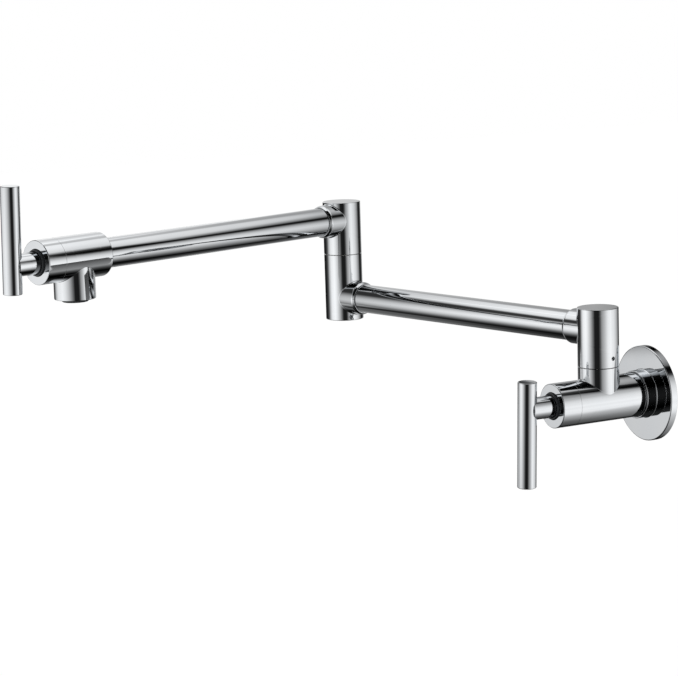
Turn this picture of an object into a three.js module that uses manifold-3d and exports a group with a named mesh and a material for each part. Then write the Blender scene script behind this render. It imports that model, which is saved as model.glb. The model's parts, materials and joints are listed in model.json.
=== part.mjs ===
// Wall mounted pot filler: a double jointed swing spout with a quarter-turn valve at each end.
// Millimetres. The origin is where the valve body's axis meets the wall. +Z is up, and the wall
// is the plane y = 0 with the room on its -Y side.

import * as THREE from "three";
import Module from "manifold-3d";
import { mergeVertices } from "three/addons/utils/BufferGeometryUtils.js";

const wasm = await Module();
wasm.setup();

// ---------------------------------------------------------------- driving dimensions

// overall layout
const ARM_LENGTH = 232; // post axis to elbow axis, and elbow axis to spout axis
const POST_OUT = 38.6; // wall to post axis
const BODY_FRONT = 73.6; // wall to the wall valve's front end face
const LOWER_ARM_HEIGHT = 45; // valve axis to lower arm axis
const ARM_SPACING = 53.6; // lower arm axis to upper arm axis
const SHOULDER_ANGLE = 194.67; // direction of the lower arm at rest, degrees from +X
const ELBOW_ANGLE = 90.76; // turn of the upper arm against the lower arm at rest, degrees
const HANDLE_LEAN = 2.37; // lean of both handle bars at rest, degrees

// clearances
const FIT_GAP = 0.3; // between parts that touch or screw together
const SEAL_GAP = 0.2; // round a sealing ring in its groove
const SEAM_GAP = 0.3; // visible seam between two turned outsides
const SWIVEL_GAP = 0.4; // visible seam of a swivel

// wall flange
const FLANGE_RADIUS = 30.25;
const FLANGE_DEPTH = 4.8;
const FLANGE_WALL = 1.4;
const NECK_WALL = 1.2; // neck round the valve body
const NECK_FRONT = 12; // wall to the neck's lip
const SEAL_RING_SECTION = 1.8; // side of the rubber ring behind the flange

// valve bodies
const BODY_RADIUS = 14; // every turned outside of the valves and swivels follows this one
const BODY_BACK_GAP = 1.5; // wall to the back face of the wall valve body
const INLET_RADIUS = 9.3; // half inch pipe thread, minor radius
const INLET_DEPTH = 16;
const PASSAGE_SIZE = 0.8; // water passage's radius as a share of the discs'
const NOSE_STEP = 1.8; // body outside down to the threaded nose under the bonnet sleeve
const NOSE_WALL = 2.2; // nose outside down to the bore that takes the cartridge
const SEAT_DEPTH = 38.5; // end face to the cartridge seat
const SLEEVE_LENGTH = 13.1; // end face to the seam of the bonnet sleeve
const NOSE_FRONT = 7.6; // end face to the nose's front
const PORT_RADIUS = 3.2; // water port out of a cartridge bore

// swivels
const HUB_STEP = 1; // body radius down to hub radius
const HUB_WALL = 3.5;
const POST_SEAM_HEIGHT = 21.6; // valve axis to the seam of the shoulder swivel
const SHOULDER_TOP_RISE = 13.6; // lower arm axis up to the hub's top
const HUB_TOP_WALL = 3.1;
const SPIGOT_THREAD_STEP = 1.5; // spigot radius down to its thread's
const SPIGOT_THREAD_LENGTH = 8.4;
const SPIGOT_WALL = 5;
const WAIST_STEP = 2.4; // spigot radius down to the water chamber round its ports
const WAIST_HEIGHT = 9.6;
const CROSS_PORT_RADIUS = 2.8;
const LOCK_GROOVE_DEPTH = 1.3;
const LOCK_GROOVE_WIDTH = 1.8;
const LOCK_SCREW_RADIUS = 1.2;
const SHOULDER_LOCK_RISE = 5.9; // shoulder seam up to its grub screw
const SHOULDER_LOCK_ANGLE = 176; // direction of the shoulder's grub screw, degrees from the arm
const RING_SECTION = 1.6; // thickness of the swivels' sealing rings
const WASHER_THICKNESS = 1.1;
const WASHER_STEP = 1.2; // hub radius down to the washer's

// elbow
const ELBOW_SEAM_DROP = 23.5; // upper arm axis down to the swivel seam
const ELBOW_TOP_RISE = 12.5; // upper arm axis up to the hub's top
const ELBOW_BOTTOM_DROP = 15.5; // lower arm axis down to the hub's bottom
const ELBOW_FLOOR = 0.8;
const ELBOW_LOCK_RISE = 2.5; // elbow's bottom up to its grub screw
const ELBOW_LOCK_ANGLE = 157.5; // direction of the elbow's grub screw, degrees from the arm

// tubes and their sockets
const TUBE_RADIUS = 9.6;
const TUBE_WALL = 1.2;
const SOCKET_WALL = 1.3;
const SOCKET_SET_IN = 1; // hub outside to the bottom of a tube socket
const SOCKET_PORT = 5;
const SOCKET_REACH = 21; // hub axis to the socket's rim
const SOCKET_LIP_LENGTH = 1.7; // sloping lip round the socket's rim
const SOCKET_LIP_DROP = 1;

// outlet
const SPOUT_SETBACK = 28.5; // outlet end face to the spout axis
const OUTLET_LENGTH = 49.4;
const TAIL_SOCKET_DEPTH = 6;
const SPOUT_STEP = 0.9; // body radius down to spout radius
const SPOUT_DROP = 25.8; // upper arm axis to the spout's bottom
const SPOUT_WALL = 3.8;
const AERATOR_SEAT = 14.5; // upper arm axis to the aerator's seat
const AERATOR_STICKS_OUT = 1.8;
const AERATOR_WALL = 1.6;
const AERATOR_LEDGE = 1; // ledge inside the housing that carries the insert
const AERATOR_CHAMFER = 1;
const INSERT_THICKNESS = 3;
const JET_RADIUS = 1.3;
const JET_RING_RADIUS = 4.2;
const JET_COUNT = 6;

// handles
const STEM_RADIUS = 7;
const BAR_STANDOFF = 18.2; // end face to the bar's axis
const BAR_RADIUS = 6;
const BAR_LONG = 49.5; // stem axis to the bar's far end
const BAR_SHORT = 17.5; // stem axis to the bar's near end
const STEM_STUD_RADIUS = 2.5;
const STEM_STUD_ROOT = 1; // the stud starts this far inside the stem's end
const SPINDLE_RADIUS = 4;
const SPINDLE_REACH = 9; // end face to the spindle's outer end
const STEM_TAIL = 2.4; // end face to the stem's inner end
const STEM_END_SHORT = 1.5; // the stem's outer end stops this far short of the bar's axis
const HANDLE_SCREW_RADIUS = 1.9;
const HANDLE_SCREW_PLACE = 5; // end face to the screw's axis

// glide ring between bonnet sleeve and stem
const GLIDE_WALL = 1; // outside of the ring less the stem's running gap
const GLIDE_PROUD = 1.3;
const GLIDE_LIP_STEP = 1.3;
const GLIDE_LIP = 0.8;
const SLEEVE_FACE = 2.6; // thickness of the bonnet sleeve's end wall

// cartridge
const HOUSING_STEP = 1.1; // housing thread down to its slim end
const HOUSING_WALL = 1.4;
const HOUSING_OFF_SEAT = 2; // cartridge seat to the housing's inner end
const HOUSING_SHOULDER = 24; // end face to the start of its thread
const HOUSING_FLANGE_STEP = 0.8; // nose radius down to the flange's
const HOUSING_FLANGE = 1;
const HOUSING_HEX_FRONT = 4.4;
const HOUSING_RING_BACK = 3; // nose front to the ring groove
const WINDOW_WIDTH = 8;
const WINDOW_LENGTH = 5;
const DISC_THICKNESS = 2.2;
const DISC_GAP = 0.1;
const DISC_PORT_SIZE = 0.275; // port radius as a share of the disc's
const DISC_PORT_PLACE = 0.58; // port offset as a share of the disc's radius
const DRIVE_SLOT_WIDTH = 3.4;
const DRIVE_SLOT_DEPTH = 1.1;
const KEY_HEIGHT = 1.5; // how far the drive key stands above the moving disc
const SEAT_SEAL_STEP = 1.7; // cartridge bore radius down to the seal's
const SEAT_SEAL_THICKNESS = 1.7;
const SPINDLE_RING_SECTION = 1.1;
const HOUSING_RING_SECTION = 1.3;

// screws and small sizes shared by many pieces
const SCREW_SOCKET_SIZE = 0.55; // hexagon socket as a share of the screw's radius
const SCREW_SOCKET_DEPTH = 0.5; // as a share of the screw's length
const WASHER_SEAT = 2; // thickness of the inlet washer
const EDGE = 0.5;
const OVERRUN = 1; // how far a cut runs past the face it opens

// facets round a turned piece
const FINE = 32;
const MEDIUM = 18;
const COARSE = 12;
const RING_STEPS = 12;
const RING_SIDES = 5;
const HOLE_STEPS = 8;

// ---------------------------------------------------------------- derived sizes

const POST_DEPTH = BODY_FRONT - POST_OUT; // end face to the post axis
const OUTLET_FACE_REACH = ARM_LENGTH + SPOUT_SETBACK;

// radii
const NECK_RADIUS = BODY_RADIUS + NECK_WALL;
const NOSE_RADIUS = BODY_RADIUS - NOSE_STEP;
const CARTRIDGE_BORE = NOSE_RADIUS - NOSE_WALL;
const HUB_RADIUS = BODY_RADIUS - HUB_STEP;
const HUB_BORE = HUB_RADIUS - HUB_WALL;
const WASHER_RADIUS = HUB_RADIUS - WASHER_STEP;
const SPIGOT_RADIUS = HUB_BORE - FIT_GAP;
const SPIGOT_THREAD_RADIUS = SPIGOT_RADIUS - SPIGOT_THREAD_STEP;
const SPIGOT_BORE = SPIGOT_RADIUS - SPIGOT_WALL;
const WAIST_RADIUS = SPIGOT_RADIUS - WAIST_STEP;
const LOCK_GROOVE_RADIUS = SPIGOT_RADIUS - LOCK_GROOVE_DEPTH;
const SOCKET_BORE = TUBE_RADIUS + FIT_GAP;
const SOCKET_RADIUS = SOCKET_BORE + SOCKET_WALL;
const SOCKET_SEAT = HUB_RADIUS + SOCKET_SET_IN;
const SPOUT_RADIUS = BODY_RADIUS - SPOUT_STEP;
const AERATOR_BORE = SPOUT_RADIUS - SPOUT_WALL;
const GLIDE_RADIUS = STEM_RADIUS + FIT_GAP + GLIDE_WALL;
const GLIDE_LIP_RADIUS = GLIDE_RADIUS + GLIDE_LIP_STEP;
const HOUSING_THREAD_RADIUS = CARTRIDGE_BORE - FIT_GAP;
const HOUSING_RADIUS = HOUSING_THREAD_RADIUS - HOUSING_STEP;
const HOUSING_BORE = HOUSING_RADIUS - HOUSING_WALL;
const HOUSING_FLANGE_RADIUS = NOSE_RADIUS - HOUSING_FLANGE_STEP;
const HOUSING_HEX_RADIUS = CARTRIDGE_BORE;
const DISC_RADIUS = HOUSING_BORE - FIT_GAP;
const PASSAGE_RADIUS = DISC_RADIUS * PASSAGE_SIZE;
const DISC_PORT_RADIUS = DISC_RADIUS * DISC_PORT_SIZE;
const DISC_PORT_OFFSET = DISC_RADIUS * DISC_PORT_PLACE;
const SEAT_SEAL_RADIUS = CARTRIDGE_BORE - SEAT_SEAL_STEP;

// heights over the wall valve's axis
const UPPER_ARM_HEIGHT = LOWER_ARM_HEIGHT + ARM_SPACING;
const SHOULDER_TOP_HEIGHT = LOWER_ARM_HEIGHT + SHOULDER_TOP_RISE;
const ELBOW_SEAM_HEIGHT = UPPER_ARM_HEIGHT - ELBOW_SEAM_DROP;
const ELBOW_TOP_HEIGHT = UPPER_ARM_HEIGHT + ELBOW_TOP_RISE;
const ELBOW_BOTTOM_HEIGHT = LOWER_ARM_HEIGHT - ELBOW_BOTTOM_DROP;
const SHOULDER_LOCK_HEIGHT = POST_SEAM_HEIGHT + SHOULDER_LOCK_RISE;
const ELBOW_LOCK_HEIGHT = ELBOW_BOTTOM_HEIGHT + ELBOW_LOCK_RISE;
const SHOULDER_SPIGOT_TOP = SHOULDER_TOP_HEIGHT - HUB_TOP_WALL - FIT_GAP;

// each sealing ring sits halfway between the water chamber and the next thing along the spigot
const WAIST_LOW = LOWER_ARM_HEIGHT - WAIST_HEIGHT / 2;
const WAIST_HIGH = LOWER_ARM_HEIGHT + WAIST_HEIGHT / 2;
const SHOULDER_LOWER_RING = (SHOULDER_LOCK_HEIGHT + LOCK_GROOVE_WIDTH / 2 + WAIST_LOW) / 2;
const SHOULDER_UPPER_RING = (WAIST_HIGH + SHOULDER_SPIGOT_TOP) / 2;
const ELBOW_LOWER_RING = (ELBOW_LOCK_HEIGHT + LOCK_GROOVE_WIDTH / 2 + WAIST_LOW) / 2;
const ELBOW_UPPER_RING = (WAIST_HIGH + ELBOW_SEAM_HEIGHT - WASHER_THICKNESS) / 2;

// ---------------------------------------------------------------- materials

function finish(color, roughness, metalness) {
  return new THREE.MeshStandardMaterial({ color, roughness, metalness });
}

const chrome = finish(0xd9dcde, 0.06, 1);
const brass = finish(0xc9a860, 0.3, 1);
const steel = finish(0xa8abad, 0.3, 1);
const ceramic = finish(0xf0ede6, 0.35, 0);
const rubber = finish(0x1b1b1c, 0.7, 0);
const acetal = finish(0xe6e4dd, 0.45, 0);
const darkPlastic = finish(0x26282a, 0.4, 0);

// ---------------------------------------------------------------- solids

// A closed geometry as a solid that can be joined and cut.
function toSolid(geometry) {
  const bare = geometry.clone();
  bare.deleteAttribute("normal");
  bare.deleteAttribute("uv");
  const merged = mergeVertices(bare);
  const corners = merged.index.array;
  const triangles = [];
  for (let i = 0; i < corners.length; i += 3) {
    const [a, b, c] = corners.slice(i, i + 3);
    if (a !== b && b !== c && c !== a) {
      triangles.push(a, b, c);
    }
  }
  return new wasm.Manifold(new wasm.Mesh({
    numProp: 3,
    vertProperties: merged.attributes.position.array,
    triVerts: new Uint32Array(triangles),
  }));
}

function toGeometry(solid) {
  const mesh = solid.getMesh();
  const geometry = new THREE.BufferGeometry();
  geometry.setAttribute("position", new THREE.BufferAttribute(mesh.vertProperties, mesh.numProp));
  geometry.setIndex(new THREE.BufferAttribute(mesh.triVerts, 1));
  geometry.computeVertexNormals();
  return geometry;
}

// A solid of revolution about Z from [radius, z] points, listed with the outside going up.
function turned(points, steps) {
  const profile = points.map(([radius, z]) => new THREE.Vector2(radius, z));
  const geometry = new THREE.LatheGeometry(profile, steps);
  geometry.rotateX(Math.PI / 2);
  return toSolid(geometry);
}

// A plain round bar about Z from one height to another.
function roundBar(radius, low, high, steps) {
  return turned([[0, low], [radius, low], [radius, high], [0, high]], steps);
}

// A round bar with a small chamfer at both ends.
function edgedBar(radius, low, high, edge, steps) {
  return turned([
    [0, low],
    [radius - edge, low],
    [radius, low + edge],
    [radius, high - edge],
    [radius - edge, high],
    [0, high],
  ], steps);
}

// A square-cut ring about Z.
function plainRing(inner, outer, low, high, steps) {
  return turned([[inner, low], [outer, low], [outer, high], [inner, high], [inner, low]], steps);
}

// A sealing ring of round section about Z.
function sealingRing(middle, section, z) {
  const points = [];
  for (let i = 0; i <= RING_SIDES; i += 1) {
    const angle = (2 * Math.PI * (i % RING_SIDES)) / RING_SIDES;
    const radius = middle + (section / 2) * Math.cos(angle);
    points.push([radius, z + (section / 2) * Math.sin(angle)]);
  }
  return turned(points, RING_STEPS);
}

function box(width, depth, height, x, y, z) {
  const geometry = new THREE.BoxGeometry(width, depth, height);
  geometry.translate(x, y, z);
  return toSolid(geometry);
}

// Turns a solid that was made about Z so that it lies along X or Y.
const alongX = (solid) => solid.rotate([0, 90, 0]);
const alongY = (solid) => solid.rotate([-90, 0, 0]);

const radians = THREE.MathUtils.degToRad;

function part(group, name, solid, material) {
  const mesh = new THREE.Mesh(toGeometry(solid), material);
  mesh.name = name;
  group.add(mesh);
}

// ---------------------------------------------------------------- wall flange and seals

function wallFlange() {
  const bore = BODY_RADIUS + FIT_GAP;
  const hollow = FLANGE_RADIUS - FLANGE_WALL;
  const back = FLANGE_DEPTH - FLANGE_WALL;
  return turned([
    [bore, back],
    [hollow - EDGE, back],
    [hollow, back - EDGE],
    [hollow, 0],
    [FLANGE_RADIUS, 0],
    [FLANGE_RADIUS, FLANGE_DEPTH - EDGE],
    [FLANGE_RADIUS - EDGE, FLANGE_DEPTH],
    [NECK_RADIUS, FLANGE_DEPTH],
    [NECK_RADIUS, NECK_FRONT - EDGE / 2],
    [NECK_RADIUS - EDGE / 2, NECK_FRONT],
    [bore, NECK_FRONT],
    [bore, back],
  ], FINE);
}

function flangeSealRing() {
  const inner = BODY_RADIUS + FIT_GAP;
  const front = FLANGE_DEPTH - FLANGE_WALL - FIT_GAP;
  return plainRing(inner, inner + SEAL_RING_SECTION, front - SEAL_RING_SECTION, front, MEDIUM);
}

function inletWasher() {
  const inner = PASSAGE_RADIUS + EDGE;
  const bottom = BODY_BACK_GAP + INLET_DEPTH - FIT_GAP;
  return plainRing(inner, INLET_RADIUS - FIT_GAP, bottom - WASHER_SEAT, bottom, MEDIUM);
}

// ---------------------------------------------------------------- valve bodies
// Local frame of a valve: the end face is z = 0, +Z leads out to the handle and +Y is up.

// The outside that both valves share: a round body behind a threaded nose.
function bodyOutside(back) {
  const seam = -SLEEVE_LENGTH - SEAM_GAP / 2;
  return turned([
    [0, -back],
    [BODY_RADIUS - EDGE, -back],
    [BODY_RADIUS, -back + EDGE],
    [BODY_RADIUS, seam],
    [NOSE_RADIUS, seam],
    [NOSE_RADIUS, -NOSE_FRONT],
    [0, -NOSE_FRONT],
  ], FINE);
}

function cartridgeBore() {
  return roundBar(CARTRIDGE_BORE, -SEAT_DEPTH, OVERRUN - NOSE_FRONT, MEDIUM);
}

function valveBody() {
  const back = BODY_FRONT - BODY_BACK_GAP;
  const stubTop = POST_SEAM_HEIGHT - SWIVEL_GAP / 2;
  const threadBottom = stubTop - SPIGOT_THREAD_LENGTH;
  const inletBottom = -back + INLET_DEPTH;
  const upright = (solid) => alongY(solid).translate([0, 0, -POST_DEPTH]);
  const stub = upright(edgedBar(HUB_RADIUS, 0, stubTop, EDGE / 2, FINE));
  const port = upright(roundBar(PORT_RADIUS, 0, stubTop, COARSE));
  const thread = upright(roundBar(SPIGOT_THREAD_RADIUS + FIT_GAP, threadBottom, stubTop + OVERRUN, MEDIUM));
  const passage = roundBar(PASSAGE_RADIUS, inletBottom - OVERRUN, OVERRUN - SEAT_DEPTH, COARSE);
  const inlet = roundBar(INLET_RADIUS, -back - OVERRUN, inletBottom, MEDIUM);
  return bodyOutside(back)
    .add(stub)
    .subtract(cartridgeBore())
    .subtract(passage)
    .subtract(inlet)
    .subtract(port)
    .subtract(thread);
}

function outletBody() {
  const socketBottom = -OUTLET_LENGTH + TAIL_SOCKET_DEPTH;
  const down = (solid) => solid.rotate([90, 0, 0]).translate([0, 0, -SPOUT_SETBACK]);
  const spout = down(edgedBar(SPOUT_RADIUS, 0, SPOUT_DROP, EDGE, FINE));
  const port = down(roundBar(PORT_RADIUS, 0, AERATOR_SEAT + OVERRUN, COARSE));
  const aeratorBore = down(roundBar(AERATOR_BORE, AERATOR_SEAT, SPOUT_DROP + OVERRUN, MEDIUM));
  const passage = roundBar(PASSAGE_RADIUS, socketBottom - OVERRUN, OVERRUN - SEAT_DEPTH, COARSE);
  const socket = roundBar(SOCKET_BORE, -OUTLET_LENGTH - OVERRUN, socketBottom, MEDIUM);
  return bodyOutside(OUTLET_LENGTH)
    .add(spout)
    .subtract(cartridgeBore())
    .subtract(passage)
    .subtract(socket)
    .subtract(port)
    .subtract(aeratorBore);
}

function bonnetSleeve() {
  const seam = -SLEEVE_LENGTH + SEAM_GAP / 2;
  const hole = GLIDE_RADIUS + FIT_GAP;
  const inside = NOSE_RADIUS + FIT_GAP;
  return turned([
    [inside, seam],
    [BODY_RADIUS, seam],
    [BODY_RADIUS, -EDGE],
    [BODY_RADIUS - EDGE, 0],
    [hole, 0],
    [hole, -SLEEVE_FACE],
    [inside, -SLEEVE_FACE],
    [inside, seam],
  ], FINE);
}

function glideRing() {
  const bore = STEM_RADIUS + FIT_GAP;
  const lipFront = -SLEEVE_FACE - FIT_GAP;
  return turned([
    [bore, lipFront - GLIDE_LIP],
    [GLIDE_LIP_RADIUS, lipFront - GLIDE_LIP],
    [GLIDE_LIP_RADIUS, lipFront],
    [GLIDE_RADIUS, lipFront],
    [GLIDE_RADIUS, GLIDE_PROUD - EDGE / 2],
    [GLIDE_RADIUS - EDGE / 2, GLIDE_PROUD],
    [bore, GLIDE_PROUD],
    [bore, lipFront - GLIDE_LIP],
  ], MEDIUM);
}

// ---------------------------------------------------------------- quarter-turn cartridge

const HOUSING_BACK = SEAT_DEPTH - HOUSING_OFF_SEAT;
const FIXED_DISC_BACK = -HOUSING_BACK + FIT_GAP;
const MOVING_DISC_BACK = FIXED_DISC_BACK + DISC_THICKNESS + DISC_GAP;
const MOVING_DISC_FRONT = MOVING_DISC_BACK + DISC_THICKNESS;
const HOUSING_RING_PLACE = -NOSE_FRONT - HOUSING_RING_BACK;
const SPINDLE_RING_PLACES = [-17.5, -13.5];

function cartridgeHousing() {
  const flangeBack = -NOSE_FRONT + FIT_GAP;
  const flangeFront = flangeBack + HOUSING_FLANGE;
  const windowMiddle = MOVING_DISC_FRONT + WINDOW_LENGTH / 2;
  const chamberFront = windowMiddle + WINDOW_LENGTH / 2 + EDGE;
  const spindleBore = SPINDLE_RADIUS + FIT_GAP;
  const grooveRadius = HOUSING_THREAD_RADIUS - HOUSING_RING_SECTION - SEAL_GAP;
  const grooveHalf = HOUSING_RING_SECTION / 2 + SEAL_GAP;
  const tube = turned([
    [HOUSING_BORE, -HOUSING_BACK],
    [HOUSING_RADIUS, -HOUSING_BACK],
    [HOUSING_RADIUS, -HOUSING_SHOULDER],
    [HOUSING_THREAD_RADIUS, -HOUSING_SHOULDER],
    [HOUSING_THREAD_RADIUS, HOUSING_RING_PLACE - grooveHalf],
    [grooveRadius, HOUSING_RING_PLACE - grooveHalf],
    [grooveRadius, HOUSING_RING_PLACE + grooveHalf],
    [HOUSING_THREAD_RADIUS, HOUSING_RING_PLACE + grooveHalf],
    [HOUSING_THREAD_RADIUS, flangeBack],
    [HOUSING_FLANGE_RADIUS, flangeBack],
    [HOUSING_FLANGE_RADIUS, flangeFront],
    [spindleBore, flangeFront],
    [spindleBore, chamberFront],
    [HOUSING_BORE, chamberFront],
    [HOUSING_BORE, -HOUSING_BACK],
  ], MEDIUM);
  const hexHead = plainRing(spindleBore, HOUSING_HEX_RADIUS, flangeFront, -HOUSING_HEX_FRONT, MEDIUM)
    .intersect(roundBar(HOUSING_HEX_RADIUS, flangeFront, -HOUSING_HEX_FRONT, 6));
  const windows = box(WINDOW_WIDTH, 3 * HOUSING_RADIUS, WINDOW_LENGTH, 0, 0, windowMiddle);
  return tube.add(hexHead).subtract(windows);
}

function ceramicDisc(back) {
  let disc = roundBar(DISC_RADIUS, back, back + DISC_THICKNESS, MEDIUM);
  for (const side of [-1, 1]) {
    const port = roundBar(DISC_PORT_RADIUS, back - OVERRUN, back + DISC_THICKNESS + OVERRUN, HOLE_STEPS);
    disc = disc.subtract(port.translate([side * DISC_PORT_OFFSET, 0, 0]));
  }
  return disc;
}

// The moving disc stands a quarter turn from the fixed one when the valve is shut, and has a
// slot across it for the spindle's drive key.
function movingDisc() {
  const slot = box(
    3 * DISC_RADIUS, DRIVE_SLOT_WIDTH, 2 * DRIVE_SLOT_DEPTH, 0, 0, MOVING_DISC_FRONT,
  );
  return ceramicDisc(MOVING_DISC_BACK).rotate([0, 0, 90]).subtract(slot);
}

function seatSeal() {
  const back = -SEAT_DEPTH + SEAL_GAP;
  const inner = PASSAGE_RADIUS + EDGE / 2;
  return plainRing(inner, SEAT_SEAL_RADIUS, back, back + SEAT_SEAL_THICKNESS, MEDIUM);
}

function spindle() {
  const grooveRadius = SPINDLE_RADIUS - SPINDLE_RING_SECTION - SEAL_GAP;
  const grooveHalf = SPINDLE_RING_SECTION / 2 + SEAL_GAP;
  const coreBack = MOVING_DISC_FRONT + FIT_GAP;
  const keyBack = MOVING_DISC_FRONT - DRIVE_SLOT_DEPTH + FIT_GAP;
  const keyFront = coreBack + KEY_HEIGHT;
  const keyWidth = DRIVE_SLOT_WIDTH - 2 * FIT_GAP;
  const keyLength = 2 * (DISC_RADIUS - EDGE);
  const points = [[0, coreBack], [SPINDLE_RADIUS, coreBack]];
  for (const place of SPINDLE_RING_PLACES) {
    points.push([SPINDLE_RADIUS, place - grooveHalf], [grooveRadius, place - grooveHalf]);
    points.push([grooveRadius, place + grooveHalf], [SPINDLE_RADIUS, place + grooveHalf]);
  }
  points.push([SPINDLE_RADIUS, SPINDLE_REACH - EDGE], [SPINDLE_RADIUS - EDGE, SPINDLE_REACH]);
  points.push([0, SPINDLE_REACH]);
  const key = box(keyLength, keyWidth, keyFront - keyBack, 0, 0, (keyFront + keyBack) / 2);
  return turned(points, COARSE).add(key);
}

// ---------------------------------------------------------------- T-handle

function handleStem() {
  const spindleBore = SPINDLE_RADIUS + FIT_GAP;
  const studRoot = BAR_STANDOFF - BAR_RADIUS - STEM_STUD_ROOT;
  const screwHole = alongY(roundBar(HANDLE_SCREW_RADIUS + FIT_GAP, 0, 2 * STEM_RADIUS, HOLE_STEPS))
    .rotate([0, 0, 180])
    .translate([0, 0, HANDLE_SCREW_PLACE]);
  const saddle = alongY(roundBar(BAR_RADIUS + FIT_GAP / 2, -3 * STEM_RADIUS, 3 * STEM_RADIUS, FINE))
    .translate([0, 0, BAR_STANDOFF]);
  return roundBar(STEM_RADIUS, -STEM_TAIL, BAR_STANDOFF - STEM_END_SHORT, MEDIUM)
    .subtract(saddle)
    .add(roundBar(STEM_STUD_RADIUS, studRoot, BAR_STANDOFF, HOLE_STEPS))
    .subtract(roundBar(spindleBore, -STEM_TAIL - OVERRUN, SPINDLE_REACH + FIT_GAP, COARSE))
    .subtract(screwHole);
}

function handleBar(longEnd) {
  const low = longEnd > 0 ? -BAR_SHORT : -BAR_LONG;
  const high = longEnd > 0 ? BAR_LONG : BAR_SHORT;
  const bar = turned([
    [0, low],
    [BAR_RADIUS - EDGE, low],
    [BAR_RADIUS, low + EDGE],
    [BAR_RADIUS, high - EDGE],
    [BAR_RADIUS - EDGE, high],
    [0, high],
  ], MEDIUM);
  const socket = roundBar(
    STEM_STUD_RADIUS + FIT_GAP, BAR_STANDOFF - 2 * BAR_RADIUS, BAR_STANDOFF + FIT_GAP, HOLE_STEPS,
  );
  return alongY(bar).translate([0, 0, BAR_STANDOFF]).subtract(socket);
}

// A headless screw about Z with a hexagon socket in its outer end.
function grubScrew(radius, low, high) {
  const floor = high - (high - low) * SCREW_SOCKET_DEPTH;
  const socket = roundBar(radius * SCREW_SOCKET_SIZE, floor, high + OVERRUN, 6);
  return roundBar(radius, low, high, HOLE_STEPS).subtract(socket);
}

function handleScrew() {
  const low = SPINDLE_RADIUS + FIT_GAP;
  return alongY(grubScrew(HANDLE_SCREW_RADIUS, low, STEM_RADIUS - FIT_GAP))
    .rotate([0, 0, 180])
    .translate([0, 0, HANDLE_SCREW_PLACE]);
}

// ---------------------------------------------------------------- swivels

// A turned pivot about Z with a water bore, cross ports in a waist, two ring grooves and a lock
// groove. It is threaded below low, or above high when hangs is true.
function spigot({ low, high, hangs, waist, rings, lock }) {
  const thread = SPIGOT_THREAD_LENGTH - FIT_GAP;
  const cuts = [
    { at: waist, half: WAIST_HEIGHT / 2, radius: WAIST_RADIUS },
    { at: lock, half: LOCK_GROOVE_WIDTH / 2, radius: LOCK_GROOVE_RADIUS },
  ];
  for (const at of rings) {
    const half = RING_SECTION / 2 + SEAL_GAP;
    cuts.push({ at, half, radius: SPIGOT_RADIUS - RING_SECTION - SEAL_GAP });
  }
  let solid = roundBar(SPIGOT_RADIUS, low, high, MEDIUM);
  for (const cut of cuts) {
    const outer = SPIGOT_RADIUS + OVERRUN;
    solid = solid.subtract(plainRing(cut.radius, outer, cut.at - cut.half, cut.at + cut.half, MEDIUM));
  }
  const threadLow = hangs ? high - OVERRUN : low - thread;
  const threadHigh = hangs ? high + thread : low + OVERRUN;
  solid = solid.add(roundBar(SPIGOT_THREAD_RADIUS, threadLow, threadHigh, MEDIUM));
  const boreLow = hangs ? waist - WAIST_HEIGHT / 2 : threadLow - OVERRUN;
  const boreHigh = hangs ? threadHigh + OVERRUN : waist + WAIST_HEIGHT / 2;
  solid = solid.subtract(roundBar(SPIGOT_BORE, boreLow, boreHigh, COARSE));
  const crossPort = roundBar(CROSS_PORT_RADIUS, -SPIGOT_RADIUS, SPIGOT_RADIUS, HOLE_STEPS);
  solid = solid.subtract(alongX(crossPort).translate([0, 0, waist]));
  return solid.subtract(alongY(crossPort).translate([0, 0, waist]));
}

function spigotRing(z) {
  return sealingRing(HUB_BORE - SEAL_GAP - RING_SECTION / 2, RING_SECTION, z);
}

// A tube socket along +X: a rimmed boss, a seat for the tube and a water port to the hub's bore.
function socketBoss() {
  return alongX(turned([
    [0, 0],
    [SOCKET_RADIUS, 0],
    [SOCKET_RADIUS, SOCKET_REACH - SOCKET_LIP_LENGTH],
    [SOCKET_RADIUS - SOCKET_LIP_DROP, SOCKET_REACH],
    [0, SOCKET_REACH],
  ], FINE));
}

function socketBores() {
  const seat = roundBar(SOCKET_BORE, SOCKET_SEAT, SOCKET_REACH + OVERRUN, MEDIUM);
  return alongX(seat.add(roundBar(SOCKET_PORT, 0, SOCKET_SEAT + OVERRUN, COARSE)));
}

function lockHole(height, angle) {
  return alongX(roundBar(LOCK_SCREW_RADIUS + FIT_GAP, 0, HUB_RADIUS + OVERRUN, HOLE_STEPS))
    .rotate([0, 0, angle])
    .translate([0, 0, height]);
}

function lockScrew(height, angle) {
  const point = LOCK_GROOVE_RADIUS + FIT_GAP;
  const tip = roundBar(LOCK_GROOVE_WIDTH / 2 - FIT_GAP, point, SPIGOT_RADIUS + OVERRUN, HOLE_STEPS);
  const screw = grubScrew(LOCK_SCREW_RADIUS, HUB_BORE, HUB_RADIUS - 2 * FIT_GAP);
  return alongX(screw.add(tip)).rotate([0, 0, angle]).translate([0, 0, height]);
}

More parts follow.
